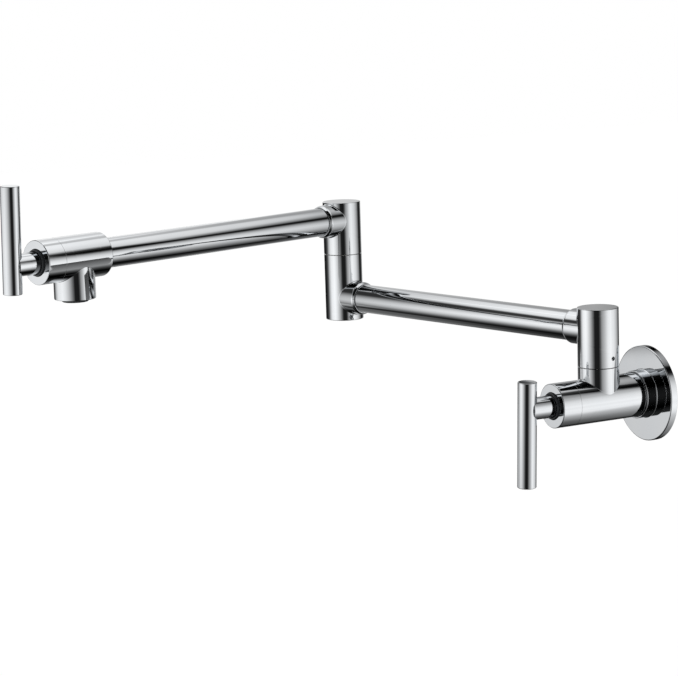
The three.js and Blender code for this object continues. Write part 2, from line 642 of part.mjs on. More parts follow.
// A hub that turns on a spigot entering from below (opensUp false) or from above.
function femaleHub({ low, high, opensUp, armHeight, bossTurn, lock, lockTurn }) {
  const washerPocket = WASHER_THICKNESS + SWIVEL_GAP / 2;
  const boreLow = opensUp ? low + ELBOW_FLOOR : low - OVERRUN;
  const boreHigh = opensUp ? high + OVERRUN : high - HUB_TOP_WALL;
  const pocketLow = opensUp ? high - washerPocket : low - OVERRUN;
  const pocketHigh = opensUp ? high + OVERRUN : low + washerPocket;
  const place = (solid) => solid.rotate([0, 0, bossTurn]).translate([0, 0, armHeight]);
  return edgedBar(HUB_RADIUS, low, high, EDGE / 2, FINE)
    .add(place(socketBoss()))
    .subtract(roundBar(HUB_BORE, boreLow, boreHigh, MEDIUM))
    .subtract(roundBar(WASHER_RADIUS + FIT_GAP, pocketLow, pocketHigh, MEDIUM))
    .subtract(place(socketBores()))
    .subtract(lockHole(lock, lockTurn));
}

function shoulderHub() {
  return femaleHub({
    low: POST_SEAM_HEIGHT + SWIVEL_GAP / 2,
    high: SHOULDER_TOP_HEIGHT,
    opensUp: false,
    armHeight: LOWER_ARM_HEIGHT,
    bossTurn: 0,
    lock: SHOULDER_LOCK_HEIGHT,
    lockTurn: SHOULDER_LOCK_ANGLE,
  });
}

function elbowLowerHub() {
  return femaleHub({
    low: ELBOW_BOTTOM_HEIGHT,
    high: ELBOW_SEAM_HEIGHT - SWIVEL_GAP / 2,
    opensUp: true,
    armHeight: LOWER_ARM_HEIGHT,
    bossTurn: 180,
    lock: ELBOW_LOCK_HEIGHT,
    lockTurn: ELBOW_LOCK_ANGLE,
  });
}

function elbowUpperHub() {
  const low = ELBOW_SEAM_HEIGHT + SWIVEL_GAP / 2;
  const place = (solid) => solid.translate([0, 0, UPPER_ARM_HEIGHT]);
  const threadRadius = SPIGOT_THREAD_RADIUS + FIT_GAP;
  return edgedBar(HUB_RADIUS, low, ELBOW_TOP_HEIGHT, EDGE / 2, FINE)
    .add(place(socketBoss()))
    .subtract(roundBar(threadRadius, low - OVERRUN, ELBOW_TOP_HEIGHT - HUB_TOP_WALL, MEDIUM))
    .subtract(place(socketBores()));
}

function shoulderSpigot() {
  return spigot({
    low: POST_SEAM_HEIGHT - SWIVEL_GAP / 2 + FIT_GAP,
    high: SHOULDER_TOP_HEIGHT - HUB_TOP_WALL - FIT_GAP,
    hangs: false,
    waist: LOWER_ARM_HEIGHT,
    rings: [SHOULDER_LOWER_RING, SHOULDER_UPPER_RING],
    lock: SHOULDER_LOCK_HEIGHT,
  });
}

function elbowSpigot() {
  return spigot({
    low: ELBOW_BOTTOM_HEIGHT + ELBOW_FLOOR + FIT_GAP,
    high: ELBOW_SEAM_HEIGHT + SWIVEL_GAP / 2 - FIT_GAP,
    hangs: true,
    waist: LOWER_ARM_HEIGHT,
    rings: [ELBOW_LOWER_RING, ELBOW_UPPER_RING],
    lock: ELBOW_LOCK_HEIGHT,
  });
}

// A washer that lies in a hub's pocket and carries the neighbour across the seam.
function swivelWasher(low) {
  return plainRing(HUB_BORE + SEAL_GAP, WASHER_RADIUS, low, low + WASHER_THICKNESS, MEDIUM);
}

function armTube(from, to) {
  return alongX(plainRing(TUBE_RADIUS - TUBE_WALL, TUBE_RADIUS, from, to, FINE));
}

// ---------------------------------------------------------------- aerator
// Its pieces are made about Z with the depth below the upper arm axis as height.

const AERATOR_WASHER_THICKNESS = 1.6;
const HOUSING_TOP = AERATOR_SEAT + AERATOR_WASHER_THICKNESS + 2 * FIT_GAP;
const HOUSING_MOUTH = SPOUT_DROP + AERATOR_STICKS_OUT;
const AERATOR_OUTSIDE = AERATOR_BORE - FIT_GAP;
const INSERT_TOP = HOUSING_TOP + EDGE;

function aeratorWasher() {
  const top = AERATOR_SEAT + FIT_GAP;
  return plainRing(PORT_RADIUS + EDGE, AERATOR_OUTSIDE, top, top + AERATOR_WASHER_THICKNESS, MEDIUM);
}

function aeratorHousing() {
  const inner = AERATOR_OUTSIDE - AERATOR_WALL;
  const mouth = inner - AERATOR_LEDGE;
  const ledge = INSERT_TOP + INSERT_THICKNESS + FIT_GAP;
  return turned([
    [inner, HOUSING_TOP],
    [AERATOR_OUTSIDE, HOUSING_TOP],
    [AERATOR_OUTSIDE, HOUSING_MOUTH - AERATOR_CHAMFER],
    [AERATOR_OUTSIDE - AERATOR_CHAMFER, HOUSING_MOUTH],
    [mouth, HOUSING_MOUTH],
    [mouth, ledge],
    [inner, ledge],
    [inner, HOUSING_TOP],
  ], MEDIUM);
}

// The plate that splits the stream into fine jets.
function aeratorInsert() {
  const radius = AERATOR_OUTSIDE - AERATOR_WALL - FIT_GAP;
  const bottom = INSERT_TOP + INSERT_THICKNESS;
  let plate = roundBar(radius, INSERT_TOP, bottom, MEDIUM);
  const jet = roundBar(JET_RADIUS, INSERT_TOP - OVERRUN, bottom + OVERRUN, HOLE_STEPS);
  plate = plate.subtract(jet);
  for (let i = 0; i < JET_COUNT; i += 1) {
    plate = plate.subtract(jet.translate([JET_RING_RADIUS, 0, 0]).rotate([0, 0, (360 * i) / JET_COUNT]));
  }
  return plate;
}

// ---------------------------------------------------------------- assembly

// Adds a cartridge valve's pieces to the group that holds it. Returns nothing.
function addValve(group, prefix, longEnd) {
  part(group, `${prefix}_bonnet_sleeve`, bonnetSleeve(), chrome);
  part(group, `${prefix}_glide_ring`, glideRing(), darkPlastic);
  part(group, `${prefix}_cartridge_housing`, cartridgeHousing(), brass);
  const ringMiddle = CARTRIDGE_BORE - SEAL_GAP - HOUSING_RING_SECTION / 2;
  const housingRing = sealingRing(ringMiddle, HOUSING_RING_SECTION, HOUSING_RING_PLACE);
  part(group, `${prefix}_cartridge_oring`, housingRing, rubber);
  part(group, `${prefix}_fixed_disc`, ceramicDisc(FIXED_DISC_BACK), ceramic);
  part(group, `${prefix}_seat_seal`, seatSeal(), rubber);

  const handle = new THREE.Group();
  handle.rotation.z = -radians(HANDLE_LEAN);
  group.add(handle);
  part(handle, `${prefix}_moving_disc`, movingDisc(), ceramic);
  part(handle, `${prefix}_spindle`, spindle(), brass);
  const spindleRing = SPINDLE_RADIUS + FIT_GAP - SEAL_GAP - SPINDLE_RING_SECTION / 2;
  ["inner", "outer"].forEach((place, i) => {
    const ring = sealingRing(spindleRing, SPINDLE_RING_SECTION, SPINDLE_RING_PLACES[i]);
    part(handle, `${prefix}_spindle_${place}_oring`, ring, rubber);
  });
  part(handle, `${prefix}_handle_stem`, handleStem(), chrome);
  part(handle, `${prefix}_handle_bar`, handleBar(longEnd), chrome);
  part(handle, `${prefix}_handle_screw`, handleScrew(), steel);
}

const potFiller = new THREE.Group();

// flange and inlet, turned about the valve axis with height as the distance from the wall
const wallRings = new THREE.Group();
wallRings.rotation.x = Math.PI / 2;
potFiller.add(wallRings);
part(wallRings, "wall_flange", wallFlange(), chrome);
part(wallRings, "flange_seal_ring", flangeSealRing(), rubber);
part(wallRings, "inlet_washer", inletWasher(), rubber);

// wall valve
const wallValve = new THREE.Group();
wallValve.position.y = -BODY_FRONT;
wallValve.rotation.x = Math.PI / 2;
potFiller.add(wallValve);
part(wallValve, "valve_body", valveBody(), chrome);
addValve(wallValve, "wall", -1);

// shoulder pivot on the post axis
const post = new THREE.Group();
post.position.y = -POST_OUT;
potFiller.add(post);
part(post, "shoulder_spigot", shoulderSpigot(), brass);
part(post, "shoulder_lower_oring", spigotRing(SHOULDER_LOWER_RING), rubber);
part(post, "shoulder_upper_oring", spigotRing(SHOULDER_UPPER_RING), rubber);
part(post, "shoulder_washer", swivelWasher(POST_SEAM_HEIGHT), acetal);

// lower arm, with +X along the arm
const lowerArm = new THREE.Group();
lowerArm.rotation.z = radians(SHOULDER_ANGLE);
post.add(lowerArm);
part(lowerArm, "shoulder_hub", shoulderHub(), chrome);
part(lowerArm, "shoulder_grub_screw", lockScrew(SHOULDER_LOCK_HEIGHT, SHOULDER_LOCK_ANGLE), steel);
const lowerArmAxis = new THREE.Group();
lowerArmAxis.position.z = LOWER_ARM_HEIGHT;
lowerArm.add(lowerArmAxis);
const tubeInset = SOCKET_SEAT + FIT_GAP;
part(lowerArmAxis, "lower_arm_tube", armTube(tubeInset, ARM_LENGTH - tubeInset), chrome);

// elbow, still carried by the lower arm
const elbow = new THREE.Group();
elbow.position.x = ARM_LENGTH;
lowerArm.add(elbow);
part(elbow, "elbow_lower_hub", elbowLowerHub(), chrome);
part(elbow, "elbow_grub_screw", lockScrew(ELBOW_LOCK_HEIGHT, ELBOW_LOCK_ANGLE), steel);
const elbowWasherLow = ELBOW_SEAM_HEIGHT - WASHER_THICKNESS;
part(elbow, "elbow_washer", swivelWasher(elbowWasherLow), acetal);

// upper arm, with +X along the arm
const upperArm = new THREE.Group();
upperArm.rotation.z = radians(ELBOW_ANGLE);
elbow.add(upperArm);
part(upperArm, "elbow_upper_hub", elbowUpperHub(), chrome);
part(upperArm, "elbow_spigot", elbowSpigot(), brass);
part(upperArm, "elbow_lower_oring", spigotRing(ELBOW_LOWER_RING), rubber);
part(upperArm, "elbow_upper_oring", spigotRing(ELBOW_UPPER_RING), rubber);
const upperArmAxis = new THREE.Group();
upperArmAxis.position.z = UPPER_ARM_HEIGHT;
upperArm.add(upperArmAxis);
const tubeEnd = OUTLET_FACE_REACH - OUTLET_LENGTH + TAIL_SOCKET_DEPTH - FIT_GAP;
part(upperArmAxis, "upper_arm_tube", armTube(tubeInset, tubeEnd), chrome);

// outlet valve: its +Z leads on along the arm, and +Y is up
const outlet = new THREE.Group();
outlet.position.x = OUTLET_FACE_REACH;
outlet.rotation.set(Math.PI / 2, 0, Math.PI / 2, "ZYX");
upperArmAxis.add(outlet);
part(outlet, "outlet_body", outletBody(), chrome);
addValve(outlet, "spout", 1);

// aerator, with +Z down
const aerator = new THREE.Group();
aerator.position.x = ARM_LENGTH;
aerator.rotation.x = Math.PI;
upperArmAxis.add(aerator);
part(aerator, "aerator_washer", aeratorWasher(), rubber);
part(aerator, "aerator_insert", aeratorInsert(), acetal);
part(aerator, "aerator_housing", aeratorHousing(), darkPlastic);

export default potFiller;
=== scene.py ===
import json
import math

import bmesh
import bpy
import numpy as np
from mathutils import Matrix


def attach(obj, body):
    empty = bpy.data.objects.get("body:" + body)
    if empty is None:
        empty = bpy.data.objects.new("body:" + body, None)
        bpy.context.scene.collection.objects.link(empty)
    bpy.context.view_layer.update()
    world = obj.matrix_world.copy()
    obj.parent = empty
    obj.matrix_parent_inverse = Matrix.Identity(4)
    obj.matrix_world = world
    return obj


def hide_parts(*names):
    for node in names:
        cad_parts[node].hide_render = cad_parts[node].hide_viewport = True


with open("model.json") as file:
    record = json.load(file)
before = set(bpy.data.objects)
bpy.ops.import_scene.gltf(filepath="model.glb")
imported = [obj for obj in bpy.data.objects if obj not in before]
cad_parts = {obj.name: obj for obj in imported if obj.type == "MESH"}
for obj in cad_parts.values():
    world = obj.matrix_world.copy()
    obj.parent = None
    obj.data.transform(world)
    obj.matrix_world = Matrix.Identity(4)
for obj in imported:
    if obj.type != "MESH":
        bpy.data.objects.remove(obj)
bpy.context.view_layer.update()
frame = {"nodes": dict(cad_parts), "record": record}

# Polished chrome pot filler: a swing spout with two arms, a valve at the wall and one at the spout.
# Sizes are millimetres up to the stage; MM turns them into metres.

MM = 0.001
METRE = 1000.0
WELD = 2e-6            # metres: points closer than this are one
FIT = 0.3              # clearance between parts that touch or screw together

# ---------------------------------------------------------------- sizes of the real object

ARM = 232.0            # post axis to elbow axis, and elbow axis to spout axis
POST_OUT = 38.6        # wall to post axis
FRONT = 73.6           # wall to the wall valve's end face
LOW_ARM = 45.0         # valve axis to lower arm axis
HIGH_ARM = 98.6        # valve axis to upper arm axis
SHOULDER = 194.67      # direction of the lower arm, degrees from +X
ELBOW = 90.76          # turn of the upper arm against it
LEAN = 2.37            # lean of the handle bars

BODY_R = 14.0
BODY_BACK = 1.5        # wall to the body's back face
SEAM = 13.1            # end face to the bonnet sleeve's seam
SEAM_GAP = 0.06        # the two parts are screwed up tight
BODY_SEAM = -SEAM - SEAM_GAP / 2
SLEEVE_FLOOR = 2.6     # thickness of the sleeve's end
STEM_HOLE_R = 8.6      # hole in the sleeve's end
CAST_FILLET = 0.3      # where a stub or spout leaves a valve body
NOSE_R = 12.2
NOSE_FRONT = 7.6
CARTRIDGE_R = 10.0
SEAT = 38.5            # end face to the cartridge seat
PASSAGE_R = 5.5
PORT_R = 3.2
INLET_R = 9.3
INLET_DEEP = 16.0

HUB_R = 13.0
BORE_R = 9.5
POST_SEAM = 21.6
POST_TOP = 58.6
TOP_WALL = 3.1
SWIVEL_GAP = 0.3
POCKET_R = 12.1
POCKET_DEEP = 1.3
HUB_BREAK = 0.15       # broken edge at the seam
THREAD_R = 8.0         # socket of the turned pivot
THREAD_DEEP = 8.4
LOCK_R = 1.3           # grub screw holes
LOCK_FILLET = 0.08
LOCK_SCREW_R = 1.2
LOCK_POINT_R = 0.6
LOCK_SUNK = 0.6        # hub outside down to the screw's end
LOCK_GROOVE_R = 7.9
POST_LOCK = 27.5
POST_LOCK_AT = 176.0
POST_SPLIT = 31.0      # height between the grub screw's band and the arm's band of the hub
ELBOW_SPLIT = 36.0     # the same inside the elbow's hub
ELBOW_SEAM = 75.1
ELBOW_TOP = 111.1
ELBOW_BOTTOM = 29.5
ELBOW_FLOOR = 0.8
ELBOW_LOCK = 32.0
ELBOW_LOCK_AT = 157.5
WASHER_R = 11.8
WASHER_DEEP = 1.1

TUBE_R = 9.6
TUBE_WALL = 1.2
SOCKET_R = 11.2
SOCKET_BORE = 9.7
SOCKET_SEAT = 14.0
SOCKET_PORT = 5.0
SOCKET_REACH = 21.0
LIP_LONG = 1.7
LIP_DROP = 1.0
BOSS_FILLET = 0.8

OUTLET_LONG = 49.4
SPOUT_BACK = 28.5
TAIL_DEEP = 6.0
SPOUT_R = 13.1
SPOUT_DROP = 25.8
AERATOR_R = 9.3
AERATOR_SEAT = 14.5
AERATOR_OUT = 9.0      # aerator housing's radius
AERATOR_TOP = 16.7     # arm axis down to the housing's inner end
AERATOR_SHELF = 20.5   # and to the ledge under the jet plate
AERATOR_MOUTH = 27.6   # and to its mouth
AERATOR_WALL = 1.6
AERATOR_LEDGE = 1.0
AERATOR_WASHER = (3.7, 9.0, 14.8, 16.4)   # inner and outer radius, arm axis down to its two faces
JET_R = 1.3
JET_RING_R = 4.2

FLANGE_R = 30.25
FLANGE_DEEP = 4.8
FLANGE_WALL = 1.4
NECK_R = 15.2
NECK_FRONT = 12.0
SEAL_RING = (1.3, 3.1)       # wall to the rubber ring's two faces
SEAL_RING_WIDE = 1.8
INLET_WASHER = (15.2, 17.2)  # wall to the inlet washer's two faces

STEM_R = 7.0
STEM_TAIL = 2.4        # end face in to the stem's inner end
STEM_FOOT = 9.4        # end face to the part of the stem's wall that is cut to the bar
SADDLE_GAP = 0.15      # stem's end to the bar's side
STEM_FILLET = 0.15     # at the screw's hole
STANDOFF = 18.2        # end face to the bar's axis
STEM_SHORT = 1.5
BAR_R = 6.0
BAR_LONG = 49.5
BAR_SHORT = 17.5
SPINDLE_BORE = 4.3
SPINDLE_REACH = 9.3
SCREW_AT = 5.0
SCREW_R = 1.9
SCREW_SUNK = 0.3
GLIDE_BORE = 7.3
GLIDE_R = 9.6
GLIDE_BACK = 3.7       # end face in to the glide ring's back
GLIDE_STEP = 2.9       # and to the step under the sleeve's end
GLIDE_LIP_R = 8.3
GLIDE_PROUD = 1.3      # how far its lip stands out of the end face

# ---------------------------------------------------------------- places

def turn_z(degrees):
    """A turn about Z as a 4 by 4 matrix."""
    c, s = math.cos(math.radians(degrees)), math.sin(math.radians(degrees))
    return np.array([[c, -s, 0, 0], [s, c, 0, 0], [0, 0, 1, 0], [0, 0, 0, 1]], float)


def shift(x, y, z):
    """A move by x, y, z as a 4 by 4 matrix."""
    m = np.eye(4)
    m[:3, 3] = (x, y, z)
    return m


# Valve frame to wall frame: its z axis leads out to the handle, its y axis is up.
OUTWARD = np.array([[1, 0, 0, 0], [0, 0, -1, 0], [0, 1, 0, 0], [0, 0, 0, 1]], float)
# Valve frame to arm frame: z runs on along the arm, y is up.
ALONG_ARM = np.array([[0, 0, 1, 0], [1, 0, 0, 0], [0, 1, 0, 0], [0, 0, 0, 1]], float)
DOWNWARD = np.array([[1, 0, 0, 0], [0, -1, 0, 0], [0, 0, -1, 0], [0, 0, 0, 1]], float)
# A frame whose z axis runs along the arm frame's x.
LENGTHWISE = np.array([[0, 0, 1, 0], [0, 1, 0, 0], [-1, 0, 0, 0], [0, 0, 0, 1]], float)

WALL = OUTWARD
WALL_VALVE = shift(0, -FRONT, 0) @ OUTWARD
POST = shift(0, -POST_OUT, 0)
LOWER = POST @ turn_z(SHOULDER)
ELBOW_LOW = LOWER @ shift(ARM, 0, 0)
UPPER = ELBOW_LOW @ turn_z(ELBOW)
OUTLET = UPPER @ shift(ARM + SPOUT_BACK, 0, HIGH_ARM) @ ALONG_ARM
AERATOR = UPPER @ shift(ARM, 0, HIGH_ARM) @ DOWNWARD

# ---------------------------------------------------------------- surfaces

ROUND = 120            # steps round a turned piece
SIDE = 24              # steps up each side of a crossed wall
CORNER = 25.0          # angle on the crossing bar that leads to the crossed wall's corner, degrees
AROUND = 2 * np.pi * np.arange(ROUND) / ROUND


def loop_angles():
    """Angles round a crossing bar, one for each line of the crossed wall's grid.
    The right side runs from -CORNER to CORNER, the top from there to 180 - CORNER, and so on."""
    c = math.radians(CORNER)
    right = np.linspace(-c, c, SIDE, endpoint=False)
    top = np.linspace(c, np.pi - c, ROUND, endpoint=False)
    return np.concatenate([right, top, right + np.pi, top + np.pi])


LOOP = loop_angles()


def rounded(corners, closed=False, steps=5, hug=0.12):
    """A profile of straight lines with arcs for corners. A corner (r, z, radius) is cut back along
    both lines by radius times the tangent of half the turn, and an arc joins the two cuts. A point
    a hair before and after each arc keeps the flats flat in the shading."""
    pts = np.array([c[:2] for c in corners], float)
    radii = [c[2] if len(c) > 2 else 0 for c in corners]
    count = len(pts)
    out = []
    for i in range(count):
        here = pts[i]
        if not closed and i in (0, count - 1):
            out.append(here)
            continue
        back, on = pts[i - 1] - here, pts[(i + 1) % count] - here
        room_back, room_on = np.linalg.norm(back), np.linalg.norm(on)
        back, on = back / room_back, on / room_on
        turn = math.pi - math.acos(np.clip(back @ on, -1, 1))
        radius = radii[i]
        if radius == 0 or turn < 0.02:
            near = min(hug, 0.3 * min(room_back, room_on))
            out += [here + near * back, here, here + near * on]
            continue
        cut = radius * math.tan(turn / 2)
        centre = here + (back + on) / np.linalg.norm(back + on) * radius / math.cos(turn / 2)
        start, end = here + cut * back - centre, here + cut * on - centre
        t = np.linspace(0, 1, steps + 1)[:, None]
        arc = (np.sin((1 - t) * turn) * start + np.sin(t * turn) * end) / math.sin(turn)
        near_back = min(hug, 0.3 * max(room_back - cut, 0))
        near_on = min(hug, 0.3 * max(room_on - cut, 0))
        out.append(here + (cut + near_back) * back)
        out += list(centre + arc)
        out.append(here + (cut + near_on) * on)
    if closed:
        out.append(out[0])
    return np.array(out)


def turned(profile, angles=AROUND):
    """A surface of revolution about Z: x = r cos a, y = r sin a, z as the profile says."""
    r, z = profile[:, 0][:, None], profile[:, 1][:, None]
    grid = np.stack([r * np.cos(angles), r * np.sin(angles), z + 0 * angles], axis=-1)
    return grid, True


def once_round(where, start):
    """A line once round a bar, from the angle `start`: ROUND + 1 angles and as many heights. A pair
    of angles and heights stays as it is."""
    if isinstance(where, tuple):
        return where
    return start + 2 * np.pi / ROUND * np.arange(ROUND + 1), np.full(ROUND + 1, float(where))


def crossed_wall(radius, low, high, at, height, cross, fillet=0.0, rows=24, first=0.012):
    """The wall of a round bar about Z between two lines, with the hole that a bar of radius cross
    leaves, which meets it square at angle `at` and that height. Unrolled, each line of the grid
    runs from a point on the hole's edge to the point of the wall's frame with the same number.
    The hole's edge is where a ball of radius fillet, rolled round the crossing, touches the wall.
    The first and last steps are short, so that the shading turns close to the edges."""
    step = 2 * np.pi / ROUND
    start = step * round((math.radians(at) - np.pi) / step)
    for line in (low, high):
        if isinstance(line, tuple):
            start = line[0][0]
    low_a, low_z = once_round(low, start)
    high_a, high_z = once_round(high, start)
    lateral = (cross + fillet) * radius / (radius + fillet)
    hole_a = math.radians(at) + np.arcsin(lateral * np.cos(LOOP) / radius)
    hole_z = height + (cross + fillet) * np.sin(LOOP)
    up = np.linspace(low_z[0], high_z[0], SIDE, endpoint=False)
    right_a, left_a = np.full(SIDE, high_a[-1]), np.full(SIDE, low_a[0])
    frame_a = np.concatenate([right_a, high_a[:0:-1], left_a, low_a[:-1]])
    frame_z = np.concatenate([up, high_z[:0:-1], low_z[0] + high_z[0] - up, low_z[:-1]])
    t = np.linspace(0, 1, rows + 1)
    t = np.insert(t, [1, rows], [first, 1 - first])[:, None]
    a = hole_a + t * (frame_a - hole_a)
    z = hole_z + t * (frame_z - hole_z)
    return np.stack([radius * np.cos(a), radius * np.sin(a), z], axis=-1), True


def line_under(radius, at, height, cross, fillet, margin=0.3, level=0.56, crowd=52):
    """A line once round a bar that dips under a crossing's hole, a margin below its edge, and runs
    level from where the edge has risen to the share `level` of its half width. Its points lie
    closer under the hole: angle = crowd u + (180 - crowd) u^5 in degrees, u from -1 to 1."""
    u = np.linspace(-1, 1, ROUND + 1)
    turn = np.radians(crowd * u + (180 - crowd) * u ** 5)
    lateral = (cross + fillet) * radius / (radius + fillet)
    share = np.where(np.abs(turn) < np.pi / 2, np.abs(np.sin(turn)) * radius / lateral, 1.0)
    share = np.minimum(share, level)
    return math.radians(at) + turn, height - (cross + fillet) * np.sqrt(1 - share ** 2) - margin


def branch_frame(at, height):
    """Moves a bar about its own Z so that it leaves the main bar's axis at that angle and height,
    with the bar's x pointing round the main bar and its y up."""
    a = math.radians(at)
    out, side = (math.cos(a), math.sin(a), 0), (-math.sin(a), math.cos(a), 0)
    m = np.eye(4)
    m[:3, 0], m[:3, 1], m[:3, 2], m[:3, 3] = side, (0, 0, 1), out, (0, 0, height)
    return m


def rolled_fillet(radius, cross, fillet, steps=5):
    """The strip between a bar and a bar crossing it, swept by a ball of radius fillet that touches
    both: its centre lies fillet outside each wall, and the strip is the arc between the contacts.
    In the crossing bar's own frame, with z along it."""
    x, y = (cross + fillet) * np.cos(LOOP), (cross + fillet) * np.sin(LOOP)
    z = np.sqrt((radius + fillet) ** 2 - x ** 2)
    centre = np.stack([x, y, z], axis=-1)
    k = radius / (radius + fillet)
    first = np.stack([x * k, y, z * k], axis=-1) - centre
    k = cross / (cross + fillet)
    last = np.stack([x * k, y * k, z], axis=-1) - centre
    turn = np.arccos(np.clip((first * last).sum(-1) / fillet ** 2, -1, 1))[:, None]
    t = np.linspace(0, 1, steps + 1)[:, None, None]
    arc = (np.sin((1 - t) * turn) * first + np.sin(t * turn) * last) / np.sin(turn)
    return centre + arc, True


def crossing_height(radius, cross, fillet=0.0):
    """How far along the crossing bar each line of its wall meets the main bar's wall or fillet."""
    return np.sqrt((radius + fillet) ** 2 - ((cross + fillet) * np.cos(LOOP)) ** 2)


def pipe_between(cross, start, end, rows=8, first=0.02):
    """A round wall about Z from the heights `start` to the heights `end`, one of each per line,
    with short first and last steps."""
    start, end = np.broadcast_to(start, LOOP.shape), np.broadcast_to(end, LOOP.shape)
    t = np.linspace(0, 1, rows + 1)
    t = np.insert(t, [1, rows], [first, 1 - first])[:, None]
    z = start + t * (end - start)
    return np.stack([cross * np.cos(LOOP) + 0 * z, cross * np.sin(LOOP) + 0 * z, z], axis=-1), True


def placed(matrix, patches):
    """The same grids moved by a 4 by 4 matrix."""
    return [(grid @ matrix[:3, :3].T + matrix[:3, 3], wraps) for grid, wraps in patches]


def quads_of(index):
    """The quads between neighbouring rows and columns of a grid of point numbers."""
    corners = [index[:-1, :-1], index[:-1, 1:], index[1:, 1:], index[1:, :-1]]
    return np.stack(corners, axis=-1).reshape(-1, 4)


def piece(name, patches, matrix, body, node, slot="chrome", sharp=32.0):
    """One closed mesh from grids of points: quads between neighbouring lines and rows, welded where
    the grids meet, faces turned outwards. It rides on the body and stands for the CAD node."""
    points, quads, first = [], [], 0
    for grid, wraps in placed(matrix, patches):
        rows, cols = grid.shape[:2]
        index = first + np.arange(rows * cols).reshape(rows, cols)
        if wraps:
            index = np.concatenate([index, index[:, :1]], axis=1)
        quads.append(quads_of(index))
        points.append(grid.reshape(-1, 3) * MM)
        first += rows * cols
    points, quads = np.concatenate(points), np.concatenate(quads)
    mesh = bpy.data.meshes.new(name)
    mesh.vertices.add(len(points))
    mesh.vertices.foreach_set("co", points.astype(np.float32).ravel())
    mesh.loops.add(quads.size)
    mesh.loops.foreach_set("vertex_index", quads.astype(np.int32).ravel())
    mesh.polygons.add(len(quads))
    mesh.polygons.foreach_set("loop_start", np.arange(0, quads.size, 4, dtype=np.int32))
    mesh.update(calc_edges=True)
    work = bmesh.new()
    work.from_mesh(mesh)
    bmesh.ops.remove_doubles(work, verts=work.verts, dist=WELD)
    bmesh.ops.dissolve_degenerate(work, dist=WELD / 20, edges=work.edges)
    bmesh.ops.recalc_face_normals(work, faces=work.faces)
    open_edges = sum(1 for e in work.edges if len(e.link_faces) != 2)
    if open_edges:
        print("OPEN", name, open_edges)
    if work.calc_volume(signed=True) < 0:
        bmesh.ops.reverse_faces(work, faces=work.faces)
    work.to_mesh(mesh)
    work.free()
    mesh.shade_smooth()
    mesh.set_sharp_from_angle(angle=math.radians(sharp))
    mesh.materials.append(SLOT_MATERIAL[slot])
    obj = bpy.data.objects.new(name, mesh)
    bpy.context.scene.collection.objects.link(obj)
    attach(obj, body)
    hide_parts(node)


# ---------------------------------------------------------------- materials

def linear(code):
    """An sRGB hex colour such as "D9DCDE" as linear red, green, blue and a full alpha."""
    v = np.array([int(code[i:i + 2], 16) / 255 for i in (0, 2, 4)])
    v = np.where(v <= 0.04045, v / 12.92, ((v + 0.055) / 1.055) ** 2.4)
    return (*v.tolist(), 1.0)


def add(tree, kind, settings=None, links=None):
    """Adds a node with its properties, sockets and ramp stops, and links its sockets."""
    node = tree.nodes.new(kind)
    for key, value in (settings or {}).items():
        if key == "stops":
            elements = node.color_ramp.elements
            while len(elements) < len(value):
                elements.new(0.5)
            for element, (place, colour) in zip(elements, value):
                element.position = place
                element.color = colour
        elif isinstance(key, int) or key in node.inputs:
            node.inputs[key].default_value = value
        else:
            setattr(node, key, value)
    for key, source in (links or {}).items():
        tree.links.new(source, node.inputs[key])
    return node


def bare_material(name):
    """A material with an output node only."""
    m = bpy.data.materials.new(name)
    m.use_nodes = True
    m.node_tree.nodes.clear()
    return m, m.node_tree, m.node_tree.nodes.new("ShaderNodeOutputMaterial")


def metal_or_plastic(name, dark, pale, metallic, patterns, gloss_span, relief):
    """A principled surface with three noises on the object's own coordinates, for its tint between
    two sRGB colours, its gloss and its height. Each noise is a size in mm, a detail and a roughness."""
    m, tree, out = bare_material(name)
    where = {"Vector": add(tree, "ShaderNodeTexCoord").outputs["Object"]}
    tint, shine, height = [
        add(tree, "ShaderNodeTexNoise",
            {"Scale": METRE / size, "Detail": detail, "Roughness": rough}, where).outputs[0]
        for size, detail, rough in patterns
    ]
    stops = [(0.3, linear(dark)), (0.7, linear(pale))]
    colour = add(tree, "ShaderNodeValToRGB", {"stops": stops}, {0: tint})
    gloss = add(tree, "ShaderNodeMapRange", gloss_span, {"Value": shine})
    lift = add(tree, "ShaderNodeBump", relief, {"Height": height})
    links = {"Base Color": colour, "Roughness": gloss, "Normal": lift}
    links = {socket: node.outputs[0] for socket, node in links.items()}
    shader = add(tree, "ShaderNodeBsdfPrincipled", {"Metallic": metallic}, links)
    tree.links.new(shader.outputs[0], out.inputs["Surface"])
    return m


def chrome_plate(tint=28.0, wipe_marks=11.0, buffing_wave=6.2):
    """Bright nickel-chrome plate over buffed brass: a clear, very slightly cool mirror. The buffing
    leaves a faint long wave, and wipe marks change the gloss a little. Real wipe marks are finer and
    are drawn as coarse as they need to show."""
    patterns = [(tint, 2.0, 0.5), (wipe_marks, 4.0, 0.6), (buffing_wave, 1.0, 0.5)]
    gloss_span = {"From Min": 0.35, "From Max": 0.7, "To Min": 0.025, "To Max": 0.06}
    relief = {"Strength": 0.02, "Distance": 0.2 * MM}
    name = "polished_chrome_plate"
    return metal_or_plastic(name, "E6E9EC", "EAECEE", 1.0, patterns, gloss_span, relief)


def grained(name, dark, pale, metallic, rough, grain_size, strength):
    """A plain material whose colour, gloss and height vary in a fine grain of that size in mm."""
    patterns = [(grain_size, 5.0, 0.65)] * 3
    gloss_span = {"To Min": rough - 0.08, "To Max": rough + 0.08}
    relief = {"Strength": strength, "Distance": 0.1 * MM}
    return metal_or_plastic(name, dark, pale, metallic, patterns, gloss_span, relief)


